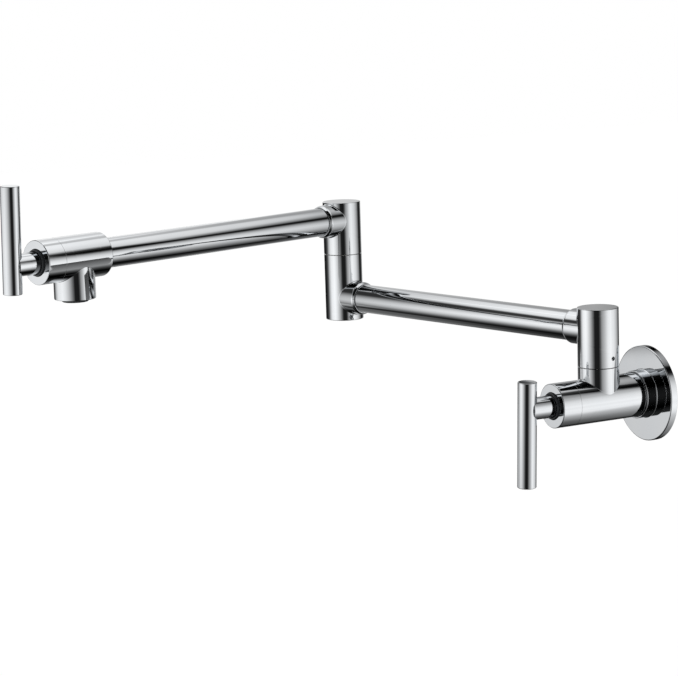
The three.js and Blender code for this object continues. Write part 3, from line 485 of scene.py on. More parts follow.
SLOT_MATERIAL = {
    "chrome": chrome_plate(),
    # turned and left raw: warm, with soft streaks of light
    "brass": grained("machined_brass", "A8873F", "CBA85C", 1.0, 0.32, 1.1, 0.15),
    # cold headed: duller and darker than the plate
    "steel": grained("stainless_screw_steel", "85888B", "B4B8BB", 1.0, 0.3, 0.8, 0.15),
    # lapped flat: an even, cream white sheen
    "ceramic": grained("lapped_alumina", "DEDBD2", "F2F0EA", 0.0, 0.22, 0.7, 0.05),
    # moulded: a flat black
    "rubber": grained("black_nitrile_rubber", "161617", "232324", 0.0, 0.62, 0.7, 0.2),
    # moulded: a waxy white
    "acetal": grained("white_acetal", "DDDBD3", "EFEDE6", 0.0, 0.42, 0.9, 0.08),
    # moulded: near black with a satin gleam
    "dark_plastic": grained("dark_moulded_acetal", "1D1F21", "303336", 0.0, 0.38, 0.9, 0.08),
}

# ---------------------------------------------------------------- wall flange and inlet

def flange_patches():
    """Pressed and turned wall flange: a dished disc with a neck round the body, hollow behind."""
    bore = BODY_R + FIT
    hollow = FLANGE_R - FLANGE_WALL
    back = FLANGE_DEEP - FLANGE_WALL
    return [turned(rounded([
        (bore, back, 0.3), (hollow, back, 1.2), (hollow, 0, 0.15), (FLANGE_R, 0, 0.3),
        (FLANGE_R, FLANGE_DEEP, 0.6), (NECK_R, FLANGE_DEEP, 0.5), (NECK_R, NECK_FRONT, 0.4),
        (bore, NECK_FRONT, 0.2),
    ], closed=True))]


piece("wall_flange_plate", flange_patches(), WALL, "wall_unit", "wall_flange")

# ---------------------------------------------------------------- valve bodies

def body_front():
    """From the body's seam step over the threaded nose to the cartridge bore's mouth."""
    return rounded([
        (BODY_R, BODY_SEAM - 1), (BODY_R, BODY_SEAM, 0.06), (NOSE_R, BODY_SEAM),
        (NOSE_R, -NOSE_FRONT, 0.2), (CARTRIDGE_R, -NOSE_FRONT, 0.2), (CARTRIDGE_R, -NOSE_FRONT - 2),
    ])


def valve_body_patches():
    """Cast body: a round bar with an upright stub, a cartridge bore, an inlet and their passages."""
    back = -FRONT + BODY_BACK
    inlet_end = back + INLET_DEEP
    post = -(FRONT - POST_OUT)
    stub_top = POST_SEAM - SWIVEL_GAP / 2
    thread_end = stub_top - THREAD_DEEP
    patches = [
        turned(body_front()),
        crossed_wall(BODY_R, back + 1, BODY_SEAM - 1, 90, post, HUB_R, CAST_FILLET),
        turned(rounded([
            (BODY_R, back + 1), (BODY_R, back, 0.5), (INLET_R, back, 0.4), (INLET_R, inlet_end),
            (PASSAGE_R, inlet_end), (PASSAGE_R, -SEAT), (CARTRIDGE_R, -SEAT),
            (CARTRIDGE_R, -SEAT + 0.1),
        ])),
        crossed_wall(CARTRIDGE_R, -SEAT + 0.1, -NOSE_FRONT - 2, 90, post, PORT_R, rows=10),
    ]
    stub = [
        rolled_fillet(BODY_R, HUB_R, CAST_FILLET),
        pipe_between(HUB_R, crossing_height(BODY_R, HUB_R, CAST_FILLET), stub_top - 0.5),
        turned(rounded([
            (HUB_R, stub_top - 0.5), (HUB_R, stub_top, 0.25), (THREAD_R, stub_top, 0.3),
            (THREAD_R, thread_end), (PORT_R, thread_end), (PORT_R, thread_end - 0.2),
        ]), LOOP),
        pipe_between(PORT_R, crossing_height(CARTRIDGE_R, PORT_R), thread_end - 0.2),
    ]
    return patches + placed(branch_frame(90, post), stub)


piece("valve_body_casting", valve_body_patches(), WALL_VALVE, "wall_unit", "valve_body")


def outlet_body_patches():
    """Cast outlet: a round bar with the spout below it, a cartridge bore and the arm's socket."""
    back = -OUTLET_LONG
    tail = back + TAIL_DEEP
    patches = [
        turned(body_front()),
        crossed_wall(BODY_R, back + 1, BODY_SEAM - 1, -90, -SPOUT_BACK, SPOUT_R, CAST_FILLET),
        turned(rounded([
            (BODY_R, back + 1), (BODY_R, back, 0.6), (SOCKET_BORE, back, 0.3), (SOCKET_BORE, tail),
            (PASSAGE_R, tail), (PASSAGE_R, -SEAT), (CARTRIDGE_R, -SEAT), (CARTRIDGE_R, -SEAT + 1),
        ])),
        crossed_wall(CARTRIDGE_R, -SEAT + 1, -NOSE_FRONT - 2, -90, -SPOUT_BACK, PORT_R, rows=10),
    ]
    spout = [
        rolled_fillet(BODY_R, SPOUT_R, CAST_FILLET),
        pipe_between(SPOUT_R, crossing_height(BODY_R, SPOUT_R, CAST_FILLET), SPOUT_DROP - 1),
        turned(rounded([
            (SPOUT_R, SPOUT_DROP - 1), (SPOUT_R, SPOUT_DROP, 0.5), (AERATOR_R, SPOUT_DROP, 0.3),
            (AERATOR_R, AERATOR_SEAT), (PORT_R, AERATOR_SEAT), (PORT_R, AERATOR_SEAT - 0.5),
        ]), LOOP),
        pipe_between(PORT_R, crossing_height(CARTRIDGE_R, PORT_R), AERATOR_SEAT - 0.5),
    ]
    return patches + placed(branch_frame(-90, -SPOUT_BACK), spout)


piece("outlet_body_casting", outlet_body_patches(), OUTLET, "upper_arm", "outlet_body")


def sleeve_patches():
    """Bonnet sleeve: a cup screwed over the nose, with a hole for the stem."""
    seam = -SEAM + SEAM_GAP / 2
    inside = NOSE_R + FIT
    return [turned(rounded([
        (inside, seam, 0.15), (BODY_R, seam, 0.06), (BODY_R, 0, 0.45), (STEM_HOLE_R, 0, 0.25),
        (STEM_HOLE_R, -SLEEVE_FLOOR), (inside, -SLEEVE_FLOOR),
    ], closed=True))]


def glide_patches():
    """Glide ring: it stands a little proud of the end face and centres the stem."""
    return [turned(rounded([
        (GLIDE_BORE, -GLIDE_BACK), (GLIDE_R, -GLIDE_BACK), (GLIDE_R, -GLIDE_STEP),
        (GLIDE_LIP_R, -GLIDE_STEP), (GLIDE_LIP_R, GLIDE_PROUD, 0.35), (GLIDE_BORE, GLIDE_PROUD, 0.15),
    ], closed=True))]


# ---------------------------------------------------------------- swivel hubs

def boss_patches(outer_r, inner_r):
    """A tube socket on a hub, in its own frame: fillet, wall, lip, seat and the port to the bore."""
    lip = SOCKET_REACH - LIP_LONG
    return [
        rolled_fillet(outer_r, SOCKET_R, BOSS_FILLET),
        pipe_between(SOCKET_R, crossing_height(outer_r, SOCKET_R, BOSS_FILLET), lip - 1),
        turned(rounded([
            (SOCKET_R, lip - 1), (SOCKET_R, lip, 2.4), (SOCKET_R - LIP_DROP, SOCKET_REACH, 0.35),
            (SOCKET_BORE, SOCKET_REACH, 0.1), (SOCKET_BORE, SOCKET_SEAT), (SOCKET_PORT, SOCKET_SEAT),
            (SOCKET_PORT, SOCKET_SEAT - 0.5),
        ]), LOOP),
        pipe_between(SOCKET_PORT, crossing_height(inner_r, SOCKET_PORT), SOCKET_SEAT - 0.5),
    ]


def lock_hole_patches(outer_r, inner_r):
    """The grub screw's hole through a hub's wall."""
    start, end = crossing_height(inner_r, LOCK_R), crossing_height(outer_r, LOCK_R, LOCK_FILLET)
    return [rolled_fillet(outer_r, LOCK_R, LOCK_FILLET, 3), pipe_between(LOCK_R, start, end, 3)]


def shoulder_hub_patches():
    """Hub over the shoulder pivot: closed on top, open below, the arm's socket on its +X side."""
    low = POST_SEAM + SWIVEL_GAP / 2
    roof = POST_TOP - TOP_WALL
    pocket = low + POCKET_DEEP
    patches = [
        turned(rounded([(HUB_R, POST_TOP - 1), (HUB_R, POST_TOP, 0.4), (0, POST_TOP)])),
        crossed_wall(HUB_R, POST_SPLIT, POST_TOP - 1, 0, LOW_ARM, SOCKET_R, BOSS_FILLET),
        crossed_wall(HUB_R, low + 0.5, POST_SPLIT, POST_LOCK_AT, POST_LOCK, LOCK_R, LOCK_FILLET, 40),
        turned(rounded([
            (HUB_R, low + 0.5), (HUB_R, low, HUB_BREAK), (POCKET_R, low, 0.1), (POCKET_R, pocket),
            (BORE_R, pocket), (BORE_R, pocket + 0.5),
        ])),
        crossed_wall(BORE_R, pocket + 0.5, POST_SPLIT, POST_LOCK_AT, POST_LOCK, LOCK_R, rows=8),
        crossed_wall(BORE_R, POST_SPLIT, roof - 0.5, 0, LOW_ARM, SOCKET_PORT, rows=8),
        turned(rounded([(BORE_R, roof - 0.5), (BORE_R, roof), (0, roof)])),
    ]
    patches += placed(branch_frame(0, LOW_ARM), boss_patches(HUB_R, BORE_R))
    return patches + placed(branch_frame(POST_LOCK_AT, POST_LOCK), lock_hole_patches(HUB_R, BORE_R))


def elbow_lower_patches():
    """Elbow's lower hub: closed below, open on top, the lower arm's socket on its -X side."""
    low, high = ELBOW_BOTTOM, ELBOW_SEAM - SWIVEL_GAP / 2
    floor = low + ELBOW_FLOOR
    pocket = high - POCKET_DEEP
    split = line_under(HUB_R, 180, LOW_ARM, SOCKET_R, BOSS_FILLET)
    patches = [
        turned(rounded([(HUB_R, low + 0.8), (HUB_R, low, 0.4), (0, low)])),
        crossed_wall(HUB_R, low + 0.8, split, ELBOW_LOCK_AT, ELBOW_LOCK, LOCK_R, LOCK_FILLET, 40),
        crossed_wall(HUB_R, split, high - 0.5, 180, LOW_ARM, SOCKET_R, BOSS_FILLET),
        turned(rounded([
            (HUB_R, high - 0.5), (HUB_R, high, HUB_BREAK), (POCKET_R, high, 0.1), (POCKET_R, pocket),
            (BORE_R, pocket), (BORE_R, pocket - 0.5),
        ])),
        crossed_wall(BORE_R, ELBOW_SPLIT, pocket - 0.5, 180, LOW_ARM, SOCKET_PORT, rows=8),
        crossed_wall(BORE_R, floor + 0.2, ELBOW_SPLIT, ELBOW_LOCK_AT, ELBOW_LOCK, LOCK_R, rows=8),
        turned(rounded([(BORE_R, floor + 0.2), (BORE_R, floor), (0, floor)])),
    ]
    patches += placed(branch_frame(180, LOW_ARM), boss_patches(HUB_R, BORE_R))
    return patches + placed(branch_frame(ELBOW_LOCK_AT, ELBOW_LOCK), lock_hole_patches(HUB_R, BORE_R))


def elbow_upper_patches():
    """Elbow's upper hub: closed on top, threaded below for the pivot, the arm's socket on +X."""
    low = ELBOW_SEAM + SWIVEL_GAP / 2
    roof = ELBOW_TOP - TOP_WALL
    patches = [
        turned(rounded([(HUB_R, ELBOW_TOP - 0.45), (HUB_R, ELBOW_TOP, 0.35), (0, ELBOW_TOP)])),
        crossed_wall(HUB_R, low + 0.5, ELBOW_TOP - 0.45, 0, HIGH_ARM, SOCKET_R, BOSS_FILLET),
        turned(rounded([
            (HUB_R, low + 0.5), (HUB_R, low, HUB_BREAK), (THREAD_R, low, 0.3), (THREAD_R, low + 2),
        ])),
        crossed_wall(THREAD_R, low + 2, roof - 0.5, 0, HIGH_ARM, SOCKET_PORT, rows=8),
        turned(rounded([(THREAD_R, roof - 0.5), (THREAD_R, roof), (0, roof)])),
    ]
    return patches + placed(branch_frame(0, HIGH_ARM), boss_patches(HUB_R, THREAD_R))


piece("shoulder_hub_turned", shoulder_hub_patches(), LOWER, "lower_arm", "shoulder_hub")
piece("elbow_lower_hub_turned", elbow_lower_patches(), ELBOW_LOW, "lower_arm", "elbow_lower_hub")
piece("elbow_upper_hub_turned", elbow_upper_patches(), UPPER, "upper_arm", "elbow_upper_hub")

# ---------------------------------------------------------------- arm tubes

def tube_patches(start, end):
    """Drawn tube with plain cut ends, made about Z."""
    inner = TUBE_R - TUBE_WALL
    profile = rounded([
        (inner, start, 0.15), (TUBE_R, start, 0.15), (TUBE_R, end, 0.15), (inner, end, 0.15),
    ], closed=True)
    return [turned(profile)]


tube_start = SOCKET_SEAT + FIT
lower_tube = tube_patches(tube_start, ARM - tube_start)
lower_place = LOWER @ shift(0, 0, LOW_ARM) @ LENGTHWISE
piece("lower_arm_tube_drawn", lower_tube, lower_place, "lower_arm", "lower_arm_tube")
upper_tube = tube_patches(tube_start, ARM + SPOUT_BACK - OUTLET_LONG + TAIL_DEEP - FIT)
upper_place = UPPER @ shift(0, 0, HIGH_ARM) @ LENGTHWISE
piece("upper_arm_tube_drawn", upper_tube, upper_place, "upper_arm", "upper_arm_tube")

# ---------------------------------------------------------------- handles

def stem_patches():
    """Handle stem: a round bar whose outer end is a height field over its own round section, cut to
    the bar's round side: height = standoff - sqrt(saddle radius squared - x squared), at most the
    flat end. Its wall has a hole for the screw, and its inner end takes the spindle."""
    flat = STANDOFF - STEM_SHORT
    saddle = BAR_R + SADDLE_GAP

    def top(x):
        return np.minimum(flat, STANDOFF - np.sqrt(np.maximum(saddle ** 2 - x ** 2, 0)))

    wall_x, wall_y = STEM_R * np.cos(AROUND), STEM_R * np.sin(AROUND)
    t = np.linspace(0, 1, 9)[:, None]
    wall_z = STEM_FOOT + t * (top(wall_x) - STEM_FOOT)
    wall = np.stack([wall_x + 0 * t, wall_y + 0 * t, wall_z], axis=-1)
    share = np.linspace(1, 0, 25)[:, None]
    x = wall_x * share
    end = np.stack([x, wall_y * share, top(x)], axis=-1)
    hole = SCREW_R + FIT
    tail = turned(rounded([
        (STEM_R, -STEM_TAIL + 0.5), (STEM_R, -STEM_TAIL, 0.3), (SPINDLE_BORE, -STEM_TAIL, 0.2),
        (SPINDLE_BORE, -STEM_TAIL + 0.6),
    ]))
    roof_edge = SPINDLE_REACH - 0.1
    roof = [(SPINDLE_BORE, roof_edge), (SPINDLE_BORE, SPINDLE_REACH), (0, SPINDLE_REACH)]
    walls = [
        crossed_wall(STEM_R, -STEM_TAIL + 0.5, STEM_FOOT, -90, SCREW_AT, hole, STEM_FILLET, 30),
        crossed_wall(SPINDLE_BORE, -STEM_TAIL + 0.6, roof_edge, -90, SCREW_AT, hole, rows=16),
    ]
    inside = crossing_height(SPINDLE_BORE, hole)
    outside = crossing_height(STEM_R, hole, STEM_FILLET)
    screw_hole = placed(branch_frame(-90, SCREW_AT), [
        rolled_fillet(STEM_R, hole, STEM_FILLET, 3), pipe_between(hole, inside, outside, 3),
    ])
    return [(wall, True), (end, True), tail, turned(rounded(roof))] + walls + screw_hole


def bar_patches(low, high):
    """Handle bar: a plain round bar along Y with lightly broken edges."""
    profile = rounded([(0, low), (BAR_R, low, 0.45), (BAR_R, high, 0.45), (0, high)])
    upright = np.array([[1, 0, 0, 0], [0, 0, 1, 0], [0, -1, 0, STANDOFF], [0, 0, 0, 1]], float)
    return placed(upright, [turned(profile)])


for valve, place, unit, bar in [
    ("wall", WALL_VALVE, "wall_unit", (-BAR_LONG, BAR_SHORT)),
    ("spout", OUTLET, "upper_arm", (-BAR_SHORT, BAR_LONG)),
]:
    leaned = place @ turn_z(-LEAN)
    piece(f"{valve}_bonnet_sleeve_turned", sleeve_patches(), place, unit, f"{valve}_bonnet_sleeve")
    ring = f"{valve}_glide_ring"
    piece(f"{ring}_moulded", glide_patches(), place, unit, ring, "dark_plastic")
    piece(f"{valve}_stem_turned", stem_patches(), leaned, f"{valve}_handle", f"{valve}_handle_stem")
    piece(f"{valve}_bar_turned", bar_patches(*bar), leaned, f"{valve}_handle", f"{valve}_handle_bar")

# ---------------------------------------------------------------- screws, washers and seals

def socket_screw_patches(radius, low, high, tip=None, key=0.55, depth=0.5, rim=0.15, foot=0.1):
    """Headless screw about Z with a hexagon socket in its outer end, `key` of its radius across and
    `depth` of its length deep, chamfers rim and foot wide, and a turned tip (radius, z) if given.
    The hexagon's edge lies at apothem / cos(angle from the nearest flat's middle); its corners are
    on the grid's angles."""
    floor = high - depth * (high - low)
    flat = np.mod(AROUND, math.pi / 3) - math.pi / 6
    hexagon = key * radius * math.cos(math.pi / 6) / np.cos(flat)
    rows = np.array([1.0, 0.96, 0.5, 0.04, 0.0])[:, None]

    def outline(r, z):
        return np.stack([r * np.cos(AROUND), r * np.sin(AROUND), z + 0 * r * AROUND], axis=-1)

    face = outline(hexagon + (radius - rim - hexagon) * rows, high)
    shaft = [(radius - rim, high), (radius, high - rim), (radius, low + foot), (radius - foot, low)]
    end = [(radius - foot, low)] + ([(tip[0], low), tip, (0, tip[1])] if tip else [(0, low)])
    return [
        (face, True), (outline(hexagon + 0 * rows, floor + (high - floor) * rows), True),
        (outline(hexagon * rows, floor), True), turned(rounded(shaft)), turned(rounded(end)),
    ]


def washer_patches(inner, outer, low, high, edge=0.12):
    """Flat ring with lightly broken edges."""
    corners = [(inner, low, edge), (outer, low, edge), (outer, high, edge), (inner, high, edge)]
    return [turned(rounded(corners, closed=True))]


lock_screw = socket_screw_patches(
    LOCK_SCREW_R, BORE_R, HUB_R - LOCK_SUNK, (LOCK_POINT_R, LOCK_GROOVE_R + FIT))
for name, place, at, height in [
    ("shoulder_grub_screw", LOWER, POST_LOCK_AT, POST_LOCK),
    ("elbow_grub_screw", ELBOW_LOW, ELBOW_LOCK_AT, ELBOW_LOCK),
]:
    piece(f"{name}_turned", lock_screw, place @ branch_frame(at, height), "lower_arm", name, "steel")

shoulder_washer = washer_patches(BORE_R + 0.2, WASHER_R, POST_SEAM, POST_SEAM + WASHER_DEEP)
piece("shoulder_washer_moulded", shoulder_washer, POST, "wall_unit", "shoulder_washer", "acetal")
elbow_washer = washer_patches(BORE_R + 0.2, WASHER_R, ELBOW_SEAM - WASHER_DEEP, ELBOW_SEAM)
piece("elbow_washer_moulded", elbow_washer, ELBOW_LOW, "lower_arm", "elbow_washer", "acetal")

seal_inside = BODY_R + FIT
flange_ring = washer_patches(seal_inside, seal_inside + SEAL_RING_WIDE, *SEAL_RING, 0.3)
piece("flange_seal_ring_moulded", flange_ring, WALL, "wall_unit", "flange_seal_ring", "rubber")
inlet_washer = washer_patches(PASSAGE_R + FIT, INLET_R - FIT, *INLET_WASHER)
piece("inlet_washer_cut", inlet_washer, WALL, "wall_unit", "inlet_washer", "rubber")

handle_screw = socket_screw_patches(SCREW_R, SPINDLE_BORE, STEM_R - SCREW_SUNK)
for valve, place in [("wall", WALL_VALVE), ("spout", OUTLET)]:
    place = place @ turn_z(-LEAN) @ shift(0, 0, SCREW_AT) @ OUTWARD
    name = f"{valve}_handle_screw"
    piece(f"{name}_turned", handle_screw, place, f"{valve}_handle", name, "steel")

# ---------------------------------------------------------------- aerator

def aerator_housing_patches():
    """Moulded housing: a short tube with an inner ledge that carries the jet plate."""
    inside = AERATOR_OUT - AERATOR_WALL
    mouth = inside - AERATOR_LEDGE
    return [turned(rounded([
        (inside, AERATOR_TOP, 0.15), (AERATOR_OUT, AERATOR_TOP, 0.3),
        (AERATOR_OUT, AERATOR_MOUTH - 1, 0.4), (AERATOR_OUT - 1, AERATOR_MOUTH, 0.3),
        (mouth, AERATOR_MOUTH, 0.2), (mouth, AERATOR_SHELF, 0.1), (inside, AERATOR_SHELF),
    ], closed=True))]


def jet_plate_patches(low=17.2, high=20.2, radius=7.1, inner=2.1, outer=6.3, arc=12, side=8):
    """Jet plate: a disc with a middle hole and six round it, low and high below the arm's axis. Each
    sixth of the ring between the radii inner and outer runs straight from its hole's edge to the
    point of its frame that lies in the same direction from the hole's middle."""
    swing = np.radians(np.linspace(-30, 30, arc + 1))
    reach = np.linspace(inner, outer, side + 1)
    round_about = 2 * np.pi * np.arange(6 * arc) / (6 * arc)
    patches = []
    rows = np.array([0, 0.06, 0.5, 0.94, 1.0])[:, None, None]
    depth = np.linspace(low, high, 4)[:, None]
    for sixth in range(6):
        middle = math.radians(60 * sixth)
        left, right = np.full(side, swing[0]), np.full(side, swing[-1])
        a = middle + np.concatenate([swing[:-1], right, swing[:0:-1], left])
        r = np.concatenate([np.full(arc, inner), reach[:-1], np.full(arc, outer), reach[:0:-1]])
        frame_line = np.stack([r * np.cos(a), r * np.sin(a)], axis=-1)
        centre = JET_RING_R * np.array([math.cos(middle), math.sin(middle)])
        away = frame_line - centre
        edge = centre + JET_R * away / np.linalg.norm(away, axis=-1, keepdims=True)
        flat = edge + rows * (frame_line - edge)
        for z in (low, high):
            face = np.concatenate([flat, np.full(flat.shape[:2] + (1,), z)], axis=-1)
            patches.append((face, True))
        hole = np.broadcast_to(edge, (len(depth),) + edge.shape)
        hole = np.concatenate([hole, np.repeat(depth[:, :, None], len(edge), 1)], axis=-1)
        patches.append((hole, True))
    rim = rounded([(outer, low), (radius, low, 0.2), (radius, high, 0.2), (outer, high)])
    bore = rounded([(inner, low), (JET_R, low), (JET_R, high), (inner, high)])
    return patches + [turned(rim, round_about), turned(bore, round_about)]


for made, patches, name, slot in [
    ("moulded", aerator_housing_patches(), "aerator_housing", "dark_plastic"),
    ("moulded", jet_plate_patches(), "aerator_insert", "acetal"),
    ("cut", washer_patches(*AERATOR_WASHER), "aerator_washer", "rubber"),
]:
    piece(f"{name}_{made}", patches, AERATOR, "upper_arm", name, slot)

# ---------------------------------------------------------------- carried-over nodes

for row in frame["record"]["subparts"]:
    node = frame["nodes"][row["node"]]
    node.data.materials.clear()
    node.data.materials.append(SLOT_MATERIAL[row["material_slot"]])

# ---------------------------------------------------------------- stage, light and camera

FLOOR_Z = -0.62        # metres, as everything on the stage
FLOOR_REACH = 8.0
PAPER_GLOW = 0.06      # what the floor's white lacks of the white behind it
TENT_AT = (-0.10, -0.15, 0.05)
TENT_R = 0.63
TENT_COLUMNS, TENT_ROWS = 96, 49

# The tent is white cloth lit from behind in panels, with black cloth between them, as a studio sets
# them for polished metal. Each panel has a brightness by compass angle from +X and one by height
# angle, both in degrees, set until the streaks on the chrome lay as in the photograph.
SIDE_PANELS = (
    [(-180, 0.01), (-157, 0.02), (-146, 0.13), (-141, 0.34), (-135, 0.58), (-126, 0.84), (-121, 1),
     (-111, 1.08), (-98, 1.16), (-85, 0.99), (-71, 0.7), (-50, 0.2), (-43, 0.09), (-39, 0.015),
     (-16, 0.012), (-8, 0.1), (-1, 0.33), (13, 0.6), (29, 0.93), (42, 1.03), (57, 0.95), (68, 0.78),
     (87, 0.36), (92, 0.26), (99, 0.02), (116, 0.02), (124, 0.1), (130, 0.1), (134, 0), (180, 0.01)],
    [(-90, 0.01), (-57, 0.02), (-52, 0.03), (-46, 0.12), (-40, 0.25), (-34, 0.42), (-28, 0.62),
     (-20, 0.86), (-9, 1), (-2, 0.9), (3, 0.83), (9, 0.68), (14, 0.52), (20, 0.3), (24, 0.08),
     (27, 0.012), (90, 0.01)],
)
LOW_PANEL = (
    [(-180, 0), (20, 0), (34, 0.8), (60, 0.9), (80, 0.8), (98, 0.55), (112, 0.1), (118, 0),
     (180, 0)],
    [(-90, 0), (-62, 0), (-57, 0.06), (-50, 0.2), (-44, 0.26), (-38, 0.27), (-30, 0.22), (-22, 0.1),
     (-14, 0), (90, 0)],
)
WALL_SIDE_PANEL = (
    [(-180, 0), (-160, 0), (-157, 0.62), (-145.5, 0.62), (-142, 0), (180, 0)],
    [(-90, 0), (-36, 0), (-26, 1), (-15.2, 1), (-13.4, 0), (90, 0)],
)
FRONT_PANEL = (
    [(-180, 0), (14, 0), (26, 1), (43, 1), (48, 0), (180, 0)],
    [(-90, 0), (-40, 0), (-30, 0.2), (-22, 0.15), (-14, 0.06), (0, 0.08), (9, 0.13), (17, 0.13),
     (24, 0.32), (30, 0.32), (36, 0.2), (42, 0), (90, 0)],
)
BACK_PANEL = (
    [(-180, 0), (126, 0), (132, 0.38), (143, 0.52), (150, 0.6), (155, 0.68), (158, 0.9),
     (160, 0.98), (162, 0), (180, 0)],
    [(-90, 0), (-52, 0.03), (-46, 0.08), (-40, 0.12), (-33, 0.2), (-26, 0.31), (-18, 0.52),
     (-10, 0.86), (-3, 1), (6, 1), (14, 0.95), (20, 0.84), (25, 0.74), (31, 0.66), (36, 0.68),
     (42, 0.76), (48, 0.86), (54, 1), (60, 1.08), (90, 1.1)],
)
CORNER_PANEL = (
    [(-180, 1), (-166, 0.95), (-158, 0), (159, 0), (162, 1), (180, 1)],
    [(-90, 0), (-60, 0), (-50, 0.04), (-44, 0.1), (-38, 0.14), (-30, 0.24), (-22, 0.3), (-15, 0.05),
     (-12, 0), (3, 0), (9, 0.9), (14, 1.04), (20, 0.92), (25, 0.84), (31, 0.7), (36, 0.68),
     (42, 0.78), (48, 0.9), (54, 1.02), (60, 1.08), (90, 1.1)],
)
RIGHT_TOP_PANEL = (
    [(-180, 0), (38, 0), (50, 0.9), (60, 1), (126, 1), (134, 0.3), (142, 0), (180, 0)],
    [(-90, 0), (33, 0), (36, 0.12), (40, 0.28), (44, 0.44), (48, 0.68), (52, 0.78), (58, 0.85),
     (64, 0.94), (72, 1.05), (90, 1.1)],
)
LEFT_TOP_PANEL = (
    [(-180, 0), (-168, 0), (-160, 0.9), (-152, 1), (-122, 1), (-108, 0), (180, 0)],
    [(-90, 0), (35, 0.03), (38, 0.08), (43, 0.7), (46, 0.9), (51, 0.98), (60, 1.05), (90, 1.1)],
)
PANELS = [SIDE_PANELS, LOW_PANEL, WALL_SIDE_PANEL, FRONT_PANEL, BACK_PANEL, CORNER_PANEL,
          RIGHT_TOP_PANEL, LEFT_TOP_PANEL]
# Share of the light that a strip of black cloth on the tent hides.
BLACK_STRIP = (
    [(-180, 0), (45.5, 0), (47.8, 1), (59, 1), (61.5, 0), (180, 0)],
    [(-90, 0), (27, 0), (31, 0.85), (41, 0.85), (44.5, 0.4), (48, 0.3), (52, 0), (90, 0)],
)
BRIGHTEST = 1.2        # a ramp's colour ends at 1, so it holds the panels' levels as shares of this

# The black card beside the outlet body, in metres. Its faint glow is painted light.
CARD_FROM = np.array([-0.1484, -0.3211, 0.0959])   # spot on the body's side that shows the card
CARD_WAY = np.array([0.501, 0.758, -0.418])        # from there to the card's middle
CARD_AWAY = 0.090
CARD_HALF = 0.0248     # half its length
CARD_FOOT, CARD_TOP = -0.030, 0.023                # from its middle
CARD_LOW, CARD_HIGH = (0.033, 0.30), (0.078, 0.06)  # height and glow at its foot and top


def light_tent_cloth():
    """The tent's glow: each panel's brightness by compass angle times its brightness by height
    angle, the panels added up, and the black strip's share taken off. The ramps run over the compass
    turn and the height's sine."""
    m, tree, out = bare_material("studio_light_tent")
    where = add(tree, "ShaderNodeTexCoord").outputs["Object"]
    unit = add(tree, "ShaderNodeVectorMath", {"operation": "NORMALIZE"}, {0: where})
    axes = add(tree, "ShaderNodeSeparateXYZ", links={0: unit.outputs[0]})
    x, y, z = axes.outputs
    angle = add(tree, "ShaderNodeMath", {"operation": "ARCTAN2"}, {0: y, 1: x})
    half_turn = {"From Min": -math.pi, "From Max": math.pi}
    turn = add(tree, "ShaderNodeMapRange", half_turn, {"Value": angle.outputs[0]})
    rise = add(tree, "ShaderNodeMapRange", {"From Min": -1.0, "From Max": 1.0}, {"Value": z})

    levels = []
    sheets = [(*panel, BRIGHTEST) for panel in PANELS] + [(*BLACK_STRIP, 1.0)]
    for round_table, up_table, brightest in sheets:
        by_turn = [((a + 180) / 360, v / brightest) for a, v in round_table]
        by_rise = [((math.sin(math.radians(a)) + 1) / 2, v / brightest) for a, v in up_table]
        ramps = []
        for table, source in [(by_turn, turn), (by_rise, rise)]:
            stops = [(spot, (level, level, level, 1)) for spot, level in table]
            ramps.append(add(tree, "ShaderNodeValToRGB", {"stops": stops}, {0: source.outputs[0]}))
        both = {0: ramps[0].outputs[0], 1: ramps[1].outputs[0]}
        levels.append(add(tree, "ShaderNodeMath", {"operation": "MULTIPLY"}, both).outputs[0])

    *panels, hidden = levels
    glow = panels[0]
    for panel in panels[1:]:
        glow = add(tree, "ShaderNodeMath", {"operation": "ADD"}, {0: glow, 1: panel}).outputs[0]
    full = {"operation": "MULTIPLY", 1: BRIGHTEST ** 2}
    glow = add(tree, "ShaderNodeMath", full, {0: glow}).outputs[0]
    shown = add(tree, "ShaderNodeMath", {"operation": "SUBTRACT", 0: 1.0}, {1: hidden}).outputs[0]
    glow = add(tree, "ShaderNodeMath", {"operation": "MULTIPLY"}, {0: glow, 1: shown})
    light = add(tree, "ShaderNodeEmission", {"Color": (1, 1, 1, 1)}, {"Strength": glow.outputs[0]})
    tree.links.new(light.outputs[0], out.inputs["Surface"])
    return m


def stage_piece(name, points, faces, material, reflected_only=True, place=(0, 0, 0)):
    """A piece of the stage. One that is only reflected is seen by polished metal alone: it casts no
    shadow, lights nothing and hides from the camera."""
    mesh = bpy.data.meshes.new(name)
    mesh.from_pydata(points, [], faces)
    mesh.materials.append(material)
    obj = bpy.data.objects.new(name, mesh)
    obj.location = place
    if reflected_only:
        obj.visible_camera = False
        obj.visible_diffuse = False
        obj.visible_shadow = False
        obj.visible_transmission = False
        obj.visible_volume_scatter = False
    bpy.context.scene.collection.objects.link(obj)


def light_tent():
    """A ball of cloth round the object: x = R cos h cos a, y = R cos h sin a, z = R sin h."""
    a = 2 * np.pi * np.arange(TENT_COLUMNS) / TENT_COLUMNS
    h = np.linspace(-np.pi / 2, np.pi / 2, TENT_ROWS)[:, None]
    x, y, z = np.cos(h) * np.cos(a), np.cos(h) * np.sin(a), np.sin(h) + 0 * a
    points = TENT_R * np.stack([x, y, z], axis=-1).reshape(-1, 3)
    index = np.arange(TENT_ROWS * TENT_COLUMNS).reshape(TENT_ROWS, TENT_COLUMNS)
    faces = quads_of(np.concatenate([index, index[:, :1]], axis=1))
    stage_piece("light_tent", points.tolist(), faces.tolist(), light_tent_cloth(), place=TENT_AT)


